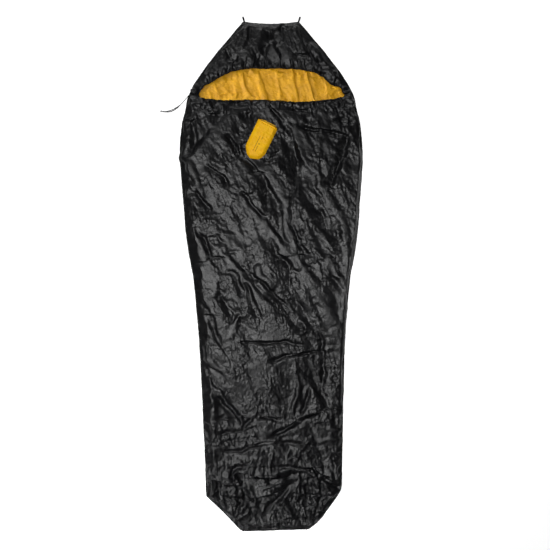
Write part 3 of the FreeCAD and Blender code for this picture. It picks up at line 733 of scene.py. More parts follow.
def simulate_top():
    lower, upper = top_plan()
    wide = lower[-1, :, 0]
    mouth = mouth_columns(wide)
    sheets = []
    for plan, part, row in ((lower, "lower", -1), (upper, "upper", 0)):
        x, y = plan[..., 0], plan[..., 1]
        field = tensor(x.shape)
        patch = 0.6 + 0.9 * perlin(x, y, 0.16, 5)
        ends = bell(np.hypot((np.abs(x) - 0.335) / 1.2, y - 0.800), 0, 0.055)
        grow(field, 0, 0.10 * ends)
        grow(field, 90, 0.10 * ends)
        if part == "lower":
            lip = lower_lip(x) - y
            grow(field, 0, (0.18 * bell(lip, 0, 0.030) + 0.05 * bell(lip, 0, 0.09)) * (np.abs(x) < 0.36))
            inner = 0.2 + 0.8 * ease(edge_distance(x, y), 0.015, 0.060)
            grow(field, 30, 0.030 * patch * ease(y, -0.80, -0.60) * inner)
            grow(field, 120, 0.014 * inner)
            grow(field, 90, 0.05 * bell(y, -0.70, 0.13))
            grow(field, 0, 0.12 * bell(y, -0.905, 0.05))
            grow(field, 90, 0.08 * ease(-y, 0.84, 0.88) + 0.015)
        else:
            lip = y - upper_lip(x)
            grow(field, 0, 0.18 * bell(lip, 0, 0.028) + 0.05 * bell(lip, 0, 0.08))
            calm = 1 - 0.7 * smooth_hood(x, y)
            grow(field, 0, (0.012 + 0.012 * patch) * calm)
            grow(field, 90, 0.018 * calm)
        free = np.ones(x.shape)
        free[:, 0] = free[:, -1] = 0
        free[0 if part == "lower" else -1, :] = 0
        wanted = top_height(x, y, part)
        sheets.append(Sheet(plan, field, wanted, free, hold=0.016, stiff=0.006, lip=(row, mouth)))

    def join(pair, stride):
        sewn = ~mouth[::stride]
        a, b = pair
        middle = (a.p[-1, sewn] + b.p[0, sewn]) / 2
        a.p[-1, sewn], b.p[0, sewn] = middle, middle

    steps = [(4, 220, 0.0008), (2, 140, 0.0004), (1, 60, 0.0002)]
    points = relax(sheets, join, steps, floor=0.0020, roof=0.036, seed=3)
    for sheet, p, part in zip(sheets, points, ("lower", "upper")):
        x, y = sheet.plan[..., 0], sheet.plan[..., 1]
        p[..., 2] = soft_limit(p[..., 2], 0.021, 0.030) + crumple(x, y, part)
        lowest = 0.0018 + 0.0034 * ease(edge_distance(x, y), 0.006, 0.018)
        p[..., 2] = np.clip(p[..., 2], lowest, ceiling(p[..., 0], p[..., 1]))
        p[..., 2] = np.where(sheet.free > 0, p[..., 2], EDGE_Z)
    sewn = ~mouth
    points[1][0, sewn] = points[0][-1, sewn]
    return sheets, points


def beside_folds(x, y):
    """1 on the crests of the tall named folds, where the cloth is drawn smooth, and 0 away from them."""
    calm = np.zeros(x.shape)
    for points, width, height, *_ in CHEST_FOLDS + MIDDLE_FOLDS:
        if height > 0.0075:
            near, side, _, _ = near_path(x, y, points)
            calm = np.maximum(calm, bell(near * (1 - 0.4 * side), 0, 0.7 * width))
    return calm


def smooth_hood(x, y):
    """1 in the middle of the hood, where the cloth lies in a few large flat faces, and 0 away from it."""
    return bell(np.hypot(x / 1.3 + 0.01, y - 1.035), 0, 0.075)


def crumple(x, y, part):
    """Fine crumpling left after the folds have settled, in metres."""
    d = edge_distance(x, y)
    patch = np.clip(0.85 + 1.3 * perlin(x, y, 0.11, 34), 0.20, 1.6)
    patch = patch * (1 - 0.8 * smooth_hood(x, y)) * (1 - 0.25 * ease(y, 0.93, 0.97))
    leaning = ease(y, -0.62, -0.50)
    z = 0.0018 * facets(*turned(x, y, -60, 2.6), 0.026, 51) * leaning
    z += 0.0018 * facets(*turned(x, y, -4, 3.0), 0.020, 56) * (1 - leaning)
    z += 0.0012 * facets(*turned(x, y, -40, 1.4), 0.0125, 52)
    z += 0.0012 * creases(*turned(x, y, -64, 3.0), 0.018, 53) * (0.4 + 0.6 * leaning)
    across = 0.0008 * creases(*turned(x, y, 20, 2.2), 0.015, 54)
    z += 0.0010 * creases(*turned(x, y, -85, 2.2), 0.015, 57) + across
    run = flank(x, y)
    lively = 1.10 + 0.40 * ease(y, 0.40, 0.55) + 0.50 * ease(-y, 0.50, 0.65)
    z = z * patch * (0.45 + 0.55 * ease(d, 0.6 * run, 1.2 * run)) * lively
    if part == "lower":
        z *= 1 - 0.65 * beside_folds(x, y)
        away = lower_lip(x) - y
        foot, side, round_it, _ = near_path(x, y, FOOT_SEAM)
        z += 0.0048 * puckers(x, away, 0.014, 0.028, 61) * ease(d, 0.0, 0.03)
        z += 0.0050 * puckers(round_it, foot, 0.013, 0.026, 62) * ease(d, 0.0, 0.03)
        ridge = bell(foot * side, 0.012, 0.008) * (round_it < 0.30)
        z += 0.0050 * ridge * (0.4 + perlin(round_it, 0 * x, 0.019, 67) * 1.6)
        z += sum(fold(x, y, points, width, 1.3 * height, 0.4) for points, width, height in FOOT_PUCKERS)
        z += 0.0022 * facets(*turned(x, y, -75, 1.6), 0.017, 68) * ease(-y, 0.84, 0.90)
    else:
        z += 0.0048 * puckers(x, y - upper_lip(x), 0.014, 0.026, 63) * ease(d, 0.0, 0.03)
        # One side of the hood's tallest fold falls away as a single tilted face.
        crest, side, along, total = near_path(x, y, HOOD_FOLDS[0][0])
        face = np.maximum(crest * side, 0)
        beside = ease(total - along, 0.0, 0.01) * ease(along, 0.0, 0.01)
        z -= 0.12 * face * (1 - ease(face, 0.040, 0.060)) * beside
    ends = bell(np.hypot((np.abs(x) - 0.335) / 1.5, y - 0.790), 0, 0.05)
    z += 0.0058 * ends * perlin(*turned(x, y, -4, 2.4), 0.0125, 64) * ease(d, 0.0, 0.02)
    return z


def show(name, points, faces, uv, body, material, slot, blend=None):
    """Makes one piece and puts it on its body, or, given a blend, leaves it in place on no body."""
    ob = mesh_object(name, points, faces, uv)
    ob.data.materials.append(material)
    if blend:
        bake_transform(ob)
    else:
        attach(ob, body)
    return ob


def show_sheet(name, points, plan, body, material, slot, blend=None, turn=False):
    ny, nx = points.shape[:2]
    faces = grid_faces(ny, nx)
    if turn:
        faces = faces[:, ::-1]
    return show(name, points, faces, plan.reshape(-1, 2), body, material, slot, blend)


# ------------------------------------------------------------------ materials


class Nodes:
    """Shorthand for building one material's nodes."""

    def __init__(self, name):
        self.material = bpy.data.materials.new(name)
        self.material.use_nodes = True
        self.tree = self.material.node_tree
        self.shader = self.tree.nodes["Principled BSDF"]

    def add(self, kind, inputs=None, **settings):
        node = self.tree.nodes.new("ShaderNode" + kind)
        for key, value in settings.items():
            setattr(node, key, value)
        for key, value in (inputs or {}).items():
            self.put(node.inputs[key], value)
        return node

    def put(self, socket, value):
        if isinstance(value, bpy.types.NodeSocket):
            self.tree.links.new(value, socket)
        else:
            socket.default_value = value

    def math(self, operation, *values, clamp=False):
        node = self.add("Math", operation=operation, use_clamp=clamp)
        for socket, value in zip(node.inputs, values):
            self.put(socket, value)
        return node.outputs[0]

    def mapped(self, source, scale=(1, 1, 1), turn=0.0):
        return self.add("Mapping", {"Vector": source, "Scale": scale, "Rotation": (0, 0, turn)}).outputs[0]

    def uv(self, **settings):
        return self.mapped(self.add("UVMap", uv_map="plan").outputs["UV"], **settings)

    def solid(self, **settings):
        return self.mapped(self.add("TexCoord").outputs["Object"], **settings)

    def noise(self, vector, scale, detail=3.0, rough=0.55):
        inputs = {"Vector": vector, "Scale": scale, "Detail": detail, "Roughness": rough}
        return self.add("TexNoise", inputs).outputs["Fac"]

    def wave(self, vector, scale, **settings):
        return self.add("TexWave", {"Vector": vector, "Scale": scale}, **settings).outputs["Fac"]

    def crack(self, vector, scale):
        """Ridged noise: thin lines where the noise crosses its middle."""
        away = self.math("ABSOLUTE", self.math("SUBTRACT", self.noise(vector, scale, 2.0), 0.5))
        return self.math("SUBTRACT", 1.0, self.math("MULTIPLY", away, 9.0), clamp=True)

    def ramp(self, value, low, high, at=(0.0, 1.0)):
        node = self.add("ValToRGB", {"Fac": value})
        node.color_ramp.elements[0].color, node.color_ramp.elements[1].color = (*low, 1), (*high, 1)
        node.color_ramp.elements[0].position, node.color_ramp.elements[1].position = at
        return node.outputs[0]

    def mix(self, share, low, high):
        node = self.add("Mix", data_type="RGBA")
        self.put(node.inputs[0], share)
        self.put(node.inputs[6], low)
        self.put(node.inputs[7], high)
        return node.outputs[2]

    def bump(self, height, distance, strength=1.0, under=None):
        inputs = {"Height": height, "Distance": distance, "Strength": strength}
        if under is not None:
            inputs["Normal"] = under
        return self.add("Bump", inputs).outputs[0]

    def set(self, **inputs):
        for key, value in inputs.items():
            self.put(self.shader.inputs[key.replace("_", " ")], value)
        return self.material


def cloth_nodes(name, dark, light, roughness, depth, gloss):
    """Thin coated cloth: a fine weave, crumpled all over, a little more worn and duller on its creases."""
    n = Nodes(name)
    plan = n.uv()
    leaning = n.uv(turn=math.radians(60), scale=(0.45, 1, 1))
    cracks = n.crack(leaning, 95.0)
    small = n.crack(n.uv(turn=0.8, scale=(0.7, 1, 1)), 190.0)
    facet = n.add("TexVoronoi", {"Vector": n.uv(turn=0.4), "Scale": 120.0}, feature="F1").outputs["Distance"]
    height = n.math("ADD", cracks, n.math("MULTIPLY", small, 0.45))
    height = n.math("ADD", height, n.math("MULTIPLY", facet, 0.8))
    weave = n.math("ADD", n.wave(n.uv(), 300.0), n.wave(n.uv(turn=math.pi / 2), 300.0))
    normal = n.bump(weave, 0.00003, 0.4, n.bump(height, depth))
    patchy = n.noise(plan, 22.0, 5.0)
    shade = n.math("ADD", patchy, n.math("MULTIPLY", cracks, 0.15), clamp=True)
    rough = n.math("ADD", roughness, n.math("MULTIPLY", n.math("SUBTRACT", patchy, 0.5), 0.25))
    colour = n.ramp(shade, dark, light, (0.25, 0.8))
    n.set(Base_Color=colour, Roughness=rough, Normal=normal, Specular_IOR_Level=gloss)
    return n, colour


def coated_cloth(name, dark, light, roughness, depth, gloss=0.5):
    return cloth_nodes(name, dark, light, roughness, depth, gloss)[0].material


def stitched_tape(name, dark, light):
    """Folded seam cloth with a row of stitches along it. UV: metres along, share of the way round."""
    n = Nodes(name)
    plan = n.add("UVMap", uv_map="plan").outputs["UV"]
    parts = n.add("SeparateXYZ", {"Vector": plan})
    step = n.math("FRACT", n.math("DIVIDE", parts.outputs[0], 0.0042))
    dash = n.math("LESS_THAN", step, 0.62)
    top = n.math("LESS_THAN", n.math("ABSOLUTE", n.math("SUBTRACT", parts.outputs[1], 0.25)), 0.035)
    stitch = n.math("MULTIPLY", dash, top)
    twill = n.wave(n.mapped(plan, scale=(1, 0.02, 1), turn=0.7), 380.0)
    puffs = n.noise(n.mapped(plan, scale=(1, 0.01, 1)), 160.0, 2.0)
    cloth = n.bump(n.math("ADD", n.math("MULTIPLY", twill, 0.1), puffs), 0.0008)
    colour = n.mix(stitch, n.ramp(puffs, dark, light, (0.3, 0.8)), (0.012, 0.012, 0.013, 1))
    rough = n.math("ADD", 0.50, n.math("MULTIPLY", twill, 0.15))
    return n.set(Base_Color=colour, Roughness=rough, Normal=n.bump(stitch, 0.0004, 1.0, cloth),
                 Specular_IOR_Level=0.25)


def braided_cord(name, dark, light, round_uv=True):
    """Braid of two crossing sets of strands."""
    n = Nodes(name)
    if round_uv:
        one = n.wave(n.uv(scale=(1, 0.0035, 1), turn=0.785), 520.0)
        two = n.wave(n.uv(scale=(1, 0.0035, 1), turn=-0.785), 520.0)
    else:
        one = n.wave(n.solid(turn=0.6), 520.0, bands_direction="DIAGONAL")
        two = n.wave(n.solid(turn=2.2), 520.0, bands_direction="DIAGONAL")
    braid = n.math("MAXIMUM", one, two)
    return n.set(Base_Color=n.ramp(braid, dark, light), Roughness=0.65, Normal=n.bump(braid, 0.00022),
                 Specular_IOR_Level=0.15)


def moulded(name, dark, light):
    """Moulded plastic: faint grain, rubbed here and there."""
    n = Nodes(name)
    grain = n.noise(n.solid(), 900.0, 4.0)
    rubbed = n.noise(n.solid(), 130.0, 3.0)
    rough = n.math("ADD", 0.30, n.math("MULTIPLY", rubbed, 0.25))
    return n.set(Base_Color=n.ramp(rubbed, dark, light, (0.3, 0.75)), Roughness=rough,
                 Normal=n.bump(grain, 0.00008))


def drawn_wire(name):
    n = Nodes(name)
    lines = n.noise(n.solid(scale=(1, 0.1, 1)), 1500.0, 2.0)
    rough = n.math("ADD", 0.22, n.math("MULTIPLY", lines, 0.15))
    return n.set(Base_Color=n.ramp(lines, (0.42, 0.42, 0.44), (0.62, 0.62, 0.64)), Metallic=1.0,
                 Roughness=rough, Normal=n.bump(lines, 0.00002))


def printed_cloth(name, dark, light):
    """The stuff sack's cloth with a plain generic mark: a few bars along the sack."""
    n, colour = cloth_nodes(name, dark, light, 0.50, 0.0004, 0.25)
    parts = n.add("SeparateXYZ", {"Vector": n.add("UVMap", uv_map="plan").outputs["UV"]}).outputs
    bars = []
    for x, y, wide, high in ((-0.0070, -0.018, 0.0026, 0.074), (0.0030, -0.040, 0.0026, 0.030),
                             (0.0042, -0.016, 0.0056, 0.0060), (0.0062, 0.014, 0.0026, 0.014)):
        across = n.math("LESS_THAN", n.math("ABSOLUTE", n.math("SUBTRACT", parts[0], x)), wide / 2)
        along = n.math("LESS_THAN", n.math("ABSOLUTE", n.math("SUBTRACT", parts[1], y)), high / 2)
        bars.append(n.math("MULTIPLY", across, along))
    ink = functools.reduce(functools.partial(n.math, "MAXIMUM"), bars)
    return n.set(Base_Color=n.mix(n.math("MULTIPLY", ink, 0.62), colour, (0.10, 0.035, 0.004, 1)))


BLACK = coated_cloth("black_shell", (0.0017, 0.0017, 0.002), (0.004, 0.004, 0.0046), 0.35, 0.00014, 0.33)
YELLOW = coated_cloth("yellow_lining", (0.48, 0.226, 0.004), (0.68, 0.345, 0.008), 0.50, 0.0005, 0.3)
SACK_YELLOWS = (0.96, 0.455, 0.002), (1.00, 0.570, 0.004)
SACK = coated_cloth("yellow_sack", *SACK_YELLOWS, 0.50, 0.0004, 0.25)
SACK_PRINT = printed_cloth("yellow_sack_print", *SACK_YELLOWS)
TAPE = stitched_tape("seam_tape", (0.002, 0.002, 0.0023), (0.005, 0.005, 0.0055))
HEM = stitched_tape("hem_cloth", (0.002, 0.002, 0.0023), (0.006, 0.006, 0.0066))
SACK_HEM = stitched_tape("sack_hem_cloth", (0.94, 0.450, 0.006), (1.00, 0.580, 0.012))
CORD = braided_cord("cord", (0.003, 0.003, 0.0033), (0.012, 0.012, 0.013))
CORD_SOLID = braided_cord("cord_solid", (0.003, 0.003, 0.0033), (0.012, 0.012, 0.013), round_uv=False)
PLASTIC = moulded("lock_plastic", (0.004, 0.004, 0.0045), (0.010, 0.010, 0.011))
STEEL = drawn_wire("spring_steel")
PATCH = coated_cloth("patch_cloth", (0.010, 0.010, 0.011), (0.020, 0.020, 0.022), 0.5, 0.0003)

# ------------------------------------------------------------------ build: top cloth, hems, linings

sheets, (low_points, high_points) = simulate_top()
low_plan, high_plan = sheets[0].plan, sheets[1].plan
F = FOOT_ROWS
for name, points, plan, bend, node in (
        ("cloth_foot_top", low_points[:F + 1], low_plan[:F + 1], FOOT_BEND, "foot_panel"),
        ("cloth_body_top", low_points[F:], low_plan[F:], HOOD_BEND, "top_sheet"),
        ("cloth_hood_top", high_points, high_plan, HOOD_BEND, "hood_panel")):
    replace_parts(show_sheet(name, points, plan, "main", BLACK, "black_shell", bend), node)


SQUARE = 0.006                             # of the grid that keeps the inner faces under the top cloths
GRID_CORNER, GRID_SHAPE = (-0.42, -1.2), (140, 400)


def grid_square(x, y):
    """Square of the grid that holds a point."""
    return ((x - GRID_CORNER[0]) / SQUARE).astype(int), ((y - GRID_CORNER[1]) / SQUARE).astype(int)


def room_under_top():
    """Lowest height of the black top cloths in each square of the grid and its neighbours."""
    lowest = np.full(GRID_SHAPE, 1.0)
    for cloth in (low_points, high_points):
        column, row = grid_square(cloth[..., 0], cloth[..., 1])
        np.minimum.at(lowest, (column.ravel(), row.ravel()), cloth[..., 2].ravel())
    for _ in range(2):
        lowest[:, 1:-1] = np.minimum(np.minimum(lowest[:, :-2], lowest[:, 2:]), lowest[:, 1:-1])
        lowest[1:-1] = np.minimum(np.minimum(lowest[:-2], lowest[2:]), lowest[1:-1])
    return lowest


ROOM = room_under_top()


def inner_face(name, points, plan):
    """Yellow inner face of a cloth, just under it."""
    low = points.copy()
    room = ROOM[grid_square(low[..., 0], low[..., 1])]
    low[..., 2] = np.maximum(np.minimum(low[..., 2], room) - 0.0010, 0.0012)
    low, plan = low[:, 5:-5], plan[:, 5:-5]
    return show_sheet(name, low, plan, "main", YELLOW, "yellow_lining", HOOD_BEND, turn=True)


near_mouth = F + int(BODY_ROWS * 0.80)
inner_face("lining_body_top", low_points[near_mouth:-1], low_plan[near_mouth:-1])
inner_face("lining_hood_top", high_points[1:-4], high_plan[1:-4])


HEM_STEP = 0.0016


def hem(name, edge, seed, nodes):
    """Gathered tunnel round one side of the mouth, drawn tight over its cord."""
    path = smoothed(edge[2:-2], 2)
    path[:, 2] = np.maximum(path[:, 2] - 0.0006, 0.0050)
    path = resample(path, HEM_STEP)
    along = np.arange(len(path)) * HEM_STEP
    gathered = tube_noise(len(path), HEM_STEP, 12, 0.004, 0.0062, seed)
    tight = np.minimum(1, np.minimum(along, along[-1] - along)[:, None] / 0.012 + 0.35)
    part = tube_points(path, (0.0036 + 0.0022 * gathered) * tight, 12, 0.85)
    ob = show(name, *part, "main", HEM, "hem_cloth", HOOD_BEND)
    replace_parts(ob, *nodes)


open_columns = mouth_columns(low_plan[-1, :, 0])
hem("hem_lower", low_points[-1, open_columns], 71, ("mouth_hem_lower", "drawcord_lower"))
hem("hem_upper", high_points[0, open_columns], 72, ("mouth_hem_upper", "drawcord_upper"))


def simulate_lining():
    """Inner face of the floor cloth where the mouth and the hood show it."""
    y = np.concatenate([np.linspace(0.735, 0.960, 72), np.linspace(0.965, 1.122, 33)])[:, None]
    u = np.linspace(-1, 1, 201)[None, :]
    x = centre_x(y) + u * (half_width(y) - 0.022 - 0.016 * ease(y, 0.76, 0.82))
    y = y + 0 * u
    field = tensor(x.shape)
    grow(field, 0, 0.040 + 0.03 * perlin(x, y, 0.12, 14))
    grow(field, 60, 0.015)
    grow(field, 90, 0.010)
    z = 0.0050 + folds(x, y, LINING_FOLDS)
    z += 0.0034 * facets(*turned(x, y, -70, 1.8), 0.035, 15)
    free = np.ones(x.shape)
    free[0, :] = free[-1, :] = free[:, 0] = free[:, -1] = 0
    sheet = Sheet(np.stack([x, y], -1), field, z, free, hold=0.02, stiff=0.006)
    steps = [(4, 160, 0.0005), (2, 100, 0.0003), (1, 50, 0.0002)]
    points = relax([sheet], lambda sheets, stride: None, steps, floor=0.0028, roof=0.013, seed=8)[0]
    fine = 0.0030 * facets(*turned(x, y, -65, 1.9), 0.019, 16) + 0.0014 * facets(x, y, 0.010, 17)
    fine += 0.0016 * creases(*turned(x, y, -70, 3.0), 0.015, 18)
    points[..., 2] = np.clip(points[..., 2] + fine * free, 0.0026, 0.014)
    room = 0.0026 + 0.12 * np.maximum(edge_distance(x, y) - 0.035, 0)
    under_cloth = ROOM[grid_square(points[..., 0], points[..., 1])] - 0.0012
    room = np.maximum(np.minimum(room, under_cloth), 0.0023)
    points[..., 2] = np.minimum(points[..., 2], room)
    return sheet.plan, points


def body_lining():
    """Inner face of the floor cloth below the mouth, down to the foot."""
    y, u = np.meshgrid(np.linspace(-0.900, 0.738, 410), np.linspace(-1, 1, 181), indexing="ij")
    x = centre_x(y) + u * (half_width(y) - 0.020)
    z = 0.0024 + 0.0006 * np.abs(facets(*turned(x, y, -60, 1.6), 0.030, 19))
    return np.dstack([x, y]), np.dstack([x, y, z])


plan, points = simulate_lining()
lining = show_sheet("lining_mouth", points, plan, "main", YELLOW, "yellow_lining", HOOD_BEND)
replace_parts(lining, "hood_liner", "floor_liner")
plan, points = body_lining()
show_sheet("lining_body", points, plan, "main", YELLOW, "yellow_lining")

# ------------------------------------------------------------------ build: floor cloth and edge seams


def floor_cloth(name, low, high, rows, blend):
    """Underside of the sack, flat on the ground with a little crumpling, and closed round its thickness."""
    y, u = np.meshgrid(np.linspace(low, high, rows), np.linspace(-1, 1, 201), indexing="ij")
    x = centre_x(y) + u * (half_width(y) - 0.0006)
    bulge = 0.0006 * np.abs(facets(*turned(x, y, -55, 1.6), 0.030, 81)) + 0.0004 * creases(x, y, 0.020, 82)
    under = np.dstack([x, end_line(x, y), bulge])
    over = under + (0, 0, 0.0009)
    ny, nx = x.shape
    faces = grid_faces(ny, nx)
    count = ny * nx
    ring = np.concatenate([np.arange(nx), np.arange(2 * nx - 1, count, nx),
                           np.arange(count - 2, count - nx - 1, -1), np.arange(count - 2 * nx, 0, -nx)])
    after = np.roll(ring, -1)
    walls = np.stack([ring, after, after + count, ring + count], -1)
    points = np.vstack([under.reshape(-1, 3), over.reshape(-1, 3)])
    uv = np.vstack([np.dstack([x, y]).reshape(-1, 2)] * 2)
    faces = np.vstack([faces[:, ::-1], faces + count, walls])
    return show(name, points, faces, uv, "main", BLACK, "black_shell", blend)


under = floor_cloth("cloth_floor", SEAM_Y, HEAD_Y, 500, HOOD_BEND)
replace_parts(under, "floor_sheet", "hood_floor")
under = floor_cloth("cloth_floor_foot", FOOT_Y, SEAM_Y, 70, FOOT_BEND)
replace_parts(under, "foot_floor")


SEAM_STEP, SEAM_INSET, SEAM_Z = 0.003, 0.0016, 0.0019


def side_path(side, low, high):
    """Points along one long side of the sack; side is -1 or 1."""
    y = np.arange(low, high + 1e-6, SEAM_STEP)
    x = centre_x(y) + side * (half_width(y) - SEAM_INSET)
    return np.stack([x, end_line(x, y), np.full(y.shape, SEAM_Z)], -1)


def end_path(x, y, inset):
    """Points along the head edge or the foot edge."""
    return np.stack([x, end_line(x, np.full(x.shape, y)) + inset, np.full(x.shape, SEAM_Z)], -1)


def seam(name, path, seed, blend, *nodes):
    wobble = tube_noise(len(path), SEAM_STEP, 10, 0.01, 0.012, seed)
    part = tube_points(path, 0.0024 + 0.0008 * wobble, 10, 0.62)
    ob = show(name, *part, "main", TAPE, "seam_tape", blend)
    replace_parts(ob, *nodes)


for name, side, seed in (("left", -1, 91), ("right", 1, 92)):
    path = side_path(side, SEAM_Y, HEAD_Y - 0.001)
    seam(f"seam_{name}", path, seed, HOOD_BEND, f"{name}_side_seam", f"{name}_hood_seam")
x = centre_x(HEAD_Y) + np.linspace(-0.985, 0.985, 86) * half_width(HEAD_Y)
seam("seam_head", end_path(x, HEAD_Y, -SEAM_INSET), 93, HOOD_BEND, "head_seam")
left, right = side_path(-1, FOOT_Y, SEAM_Y), side_path(1, FOOT_Y, SEAM_Y)
bottom = end_path(np.linspace(left[0, 0], right[0, 0], 98)[1:-1], FOOT_Y, SEAM_INSET)
seam("seam_foot", np.vstack([left[::-1], bottom, right]), 94, FOOT_BEND, "foot_seam")

# ------------------------------------------------------------------ build: cords


def knot(centre, radius, turn):
    """A small overhand knot."""
    t = np.linspace(0, 2 * math.pi, 73)
    c, s = math.cos(turn), math.sin(turn)
    x, y = np.sin(t) + 2 * np.sin(2 * t), np.cos(t) - 2 * np.cos(2 * t)
    path = np.stack([c * x - s * y, s * x + c * y, -np.sin(3 * t) * 1.1], -1) * radius * 0.72
    return tube_points(path + centre, radius, 10)


CORD_RADIUS, CORD_STEP = 0.0013, 0.0015
TAIL_START = (-0.349, 0.841)               # where the tail leaves the mouth's left corner
TAIL_TURN = math.radians(-131)             # the way its straight run goes


def tail_strand(lift, wander, seed):
    """One strand of the drawcord's tail, in the frame of its straight run, then put in place."""
    path = np.array([(-0.004, 0), (0.030, 0), (0.070, 0), (0.088, -0.0006), (0.105, -0.0030),
                     (0.125, -0.0090), (0.143, -0.0180), (0.156, -0.0290), (0.163, -0.0385),
                     (0.167, -0.0450)])
    path = smoothed(resample(np.column_stack([path, np.zeros(len(path))]), CORD_STEP), 12)
    along = np.arange(len(path)) * CORD_STEP
    loose = ease(along, 0.085, 0.115) * (1 - ease(along, 0.150, 0.175))
    drop = ease(along, 0.085, 0.160)
    px, py = path[:, 0], path[:, 1] + wander * (loose + 0.6 * ease(along, 0.110, 0.150))
    z = (0.0098 + lift) * (1 - drop) + (0.0030 + lift * 0.95) * drop
    z = z + 0.0004 * drop * perlin(along, 0 * along, 0.02, seed)
    c, s = math.cos(TAIL_TURN), math.sin(TAIL_TURN)
    return np.stack([TAIL_START[0] + px * c - py * s, TAIL_START[1] + px * s + py * c, z], -1)


parts = []
for side in (1, -1):
    strand = tail_strand(0.00125 * side, 0.0022 * side, 2 - side)
    along = np.arange(len(strand))[:, None] * CORD_STEP
    parts.append(tube_points(strand, CORD_RADIUS + 0.0006 * ease(along, 0.095, 0.120), 10))
tail = show("cord_tail", *join_meshes(parts), "main", CORD, "cord")
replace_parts(tail, "drawcord_tail")
end = show("cord_tail_knot", *knot((-0.4975, 0.7448, 0.0040), 0.00135, 0.4), "main", CORD, "cord")
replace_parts(end, "drawcord_knot")


def tie_loop(side):
    """Thin cord loop that sticks out of a hood corner."""
    half, length, lean = 0.0027, 0.0238, math.radians(-17 * side)
    t = np.linspace(0, math.pi, 15)
    path = [(-0.0017, -0.002), (-0.0018, 0.010), (-half * 0.9, length - half)]
    path += [(-half * math.cos(a), length - half + half * math.sin(a)) for a in t[1:-1]]
    path += [(half * 0.9, length - half), (0.0018, 0.010), (0.0017, -0.002)]
    path = smoothed(resample([(x, y, 0.0) for x, y in path], 0.0012), 3)
    c, s = math.cos(lean), math.sin(lean)
    return np.stack([0.122 * side + c * path[:, 0] - s * path[:, 1],
                     1.1475 + s * path[:, 0] + c * path[:, 1], np.full(len(path), 0.0026)], -1)


for name, side in (("left", -1), ("right", 1)):
    loop = show(f"cord_loop_{name}", *tube_points(tie_loop(side), 0.0020, 10), f"{name}_loop", CORD, "cord")
    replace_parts(loop, f"{name}_tie_loop")

# ------------------------------------------------------------------ build: stuff sack

SACK_SIDES = np.array([(-0.0894, -0.0060, -0.0040), (-0.0840, -0.0160, 0.0120), (-0.0775, -0.0268, 0.0300),
                       (-0.0640, -0.0360, 0.0395), (-0.0480, -0.0465, 0.0465), (-0.0360, -0.0474, 0.0472),
                       (0.0300, -0.0472, 0.0474), (0.0790, -0.0474, 0.0472), (0.0856, -0.0478, 0.0430),
                       (0.0892, -0.0300, 0.0384), (0.0918, -0.0190, -0.0140)])


def sack_edges(v):
    return np.interp(v, SACK_SIDES[:, 0], SACK_SIDES[:, 1]), np.interp(v, SACK_SIDES[:, 0], SACK_SIDES[:, 2])


def sack_grid(rows, columns):
    v, share = np.meshgrid(np.linspace(-0.0893, 0.0917, rows), np.linspace(0, 1, columns), indexing="ij")
    left, right = sack_edges(v)
    return (left + right) / 2 + (share - 0.5) * np.maximum(right - left, 0.0005), v


def from_sack_frame(u, v, z):
    """Points across, along and above the stuff sack, put in place."""
    ox, oy, a = SACK_FRAME
    return np.stack([ox + u * math.cos(a) - v * math.sin(a), oy + u * math.sin(a) + v * math.cos(a), z], -1)


def sack_edge_distance(u, v):
    left, right = sack_edges(v)
    d = np.minimum(u - left, right - u)
    for (ax, ay), (bx, by) in (((-0.0474, -0.048), (-0.026, -0.079)), ((-0.026, -0.079), (-0.0055, -0.0895)),
                               ((-0.0055, -0.0895), (0.031, -0.077)), ((0.031, -0.077), (0.0468, -0.048)),
                               ((0.0472, 0.079), (0.038, 0.0895)), ((0.038, 0.0895), (-0.018, 0.092)),
                               ((-0.018, 0.092), (-0.0475, 0.0857))):
        length = math.hypot(bx - ax, by - ay)
        d = np.minimum(d, ((bx - ax) * (v - ay) - (by - ay) * (u - ax)) / length)
    return np.maximum(d, 0)


SACK_FOLDS = in_metres([
    ([(20, 88), (34, 60), (36, 20)], 10, 1.4, 0.2),
    ([(-30, 50), (-20, 0), (-28, -40)], 12, 1.2, 0.2),
    ([(-46, 80), (-10, 77), (46, 72)], 5, -4.5),
    ([(30, -30), (10, -60), (-10, -80)], 12, 1.2),
    ([(-42, -40), (-10, -52), (30, -50)], 12, 1.0),
])
SACK_HEM_PATH = np.array([(-0.0455, 0.0838), (-0.0300, 0.0870), (-0.0180, 0.0893), (0.0100, 0.0885),
                          (0.0370, 0.0872)])
SACK_BOTTOM, SACK_TOP = 0.0238, 0.0385


def sack_front_height(u, v, d):
    """The front is puffed up, and stands clear of the cord lock that lies inside."""
    loft = 0.0122 * (1 - (1 - np.clip(d / 0.017, 0, 1)) ** 2.0)
    z = 0.0240 + loft * (1 - 0.10 * bell(v, 0.02, 0.03))
    z += folds(u, v, SACK_FOLDS) * ease(d, 0.001, 0.01)
    z += (0.0022 * facets(u, v, 0.018, 95) + 0.0012 * facets(u, v, 0.009, 96)) * ease(d, 0.001, 0.010)
    over_lock = bell(np.hypot(u + 0.0014, v - 0.060), 0, 0.016) > 0.42
    return np.clip(np.maximum(z, 0.0362 * over_lock), SACK_BOTTOM, SACK_TOP)


def sack_rim(u, v, z, spacing, smoothing):
    """A level path given in the sack's own frame, put in place."""
    rim = smoothed(resample(np.column_stack([u, v, 0 * u]), spacing), smoothing)
    return from_sack_frame(rim[:, 0], rim[:, 1], np.full(len(rim), z))


def on_sack(node, u, v, z, material, turn=False):
    """One of the stuff sack's two cloths."""
    points, plan = from_sack_frame(u, v, z), np.dstack([u, v])
    ob = show_sheet(f"{node}_cloth", points, plan, "stuff_sack", material, "yellow_sack", turn=turn)
    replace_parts(ob, node)


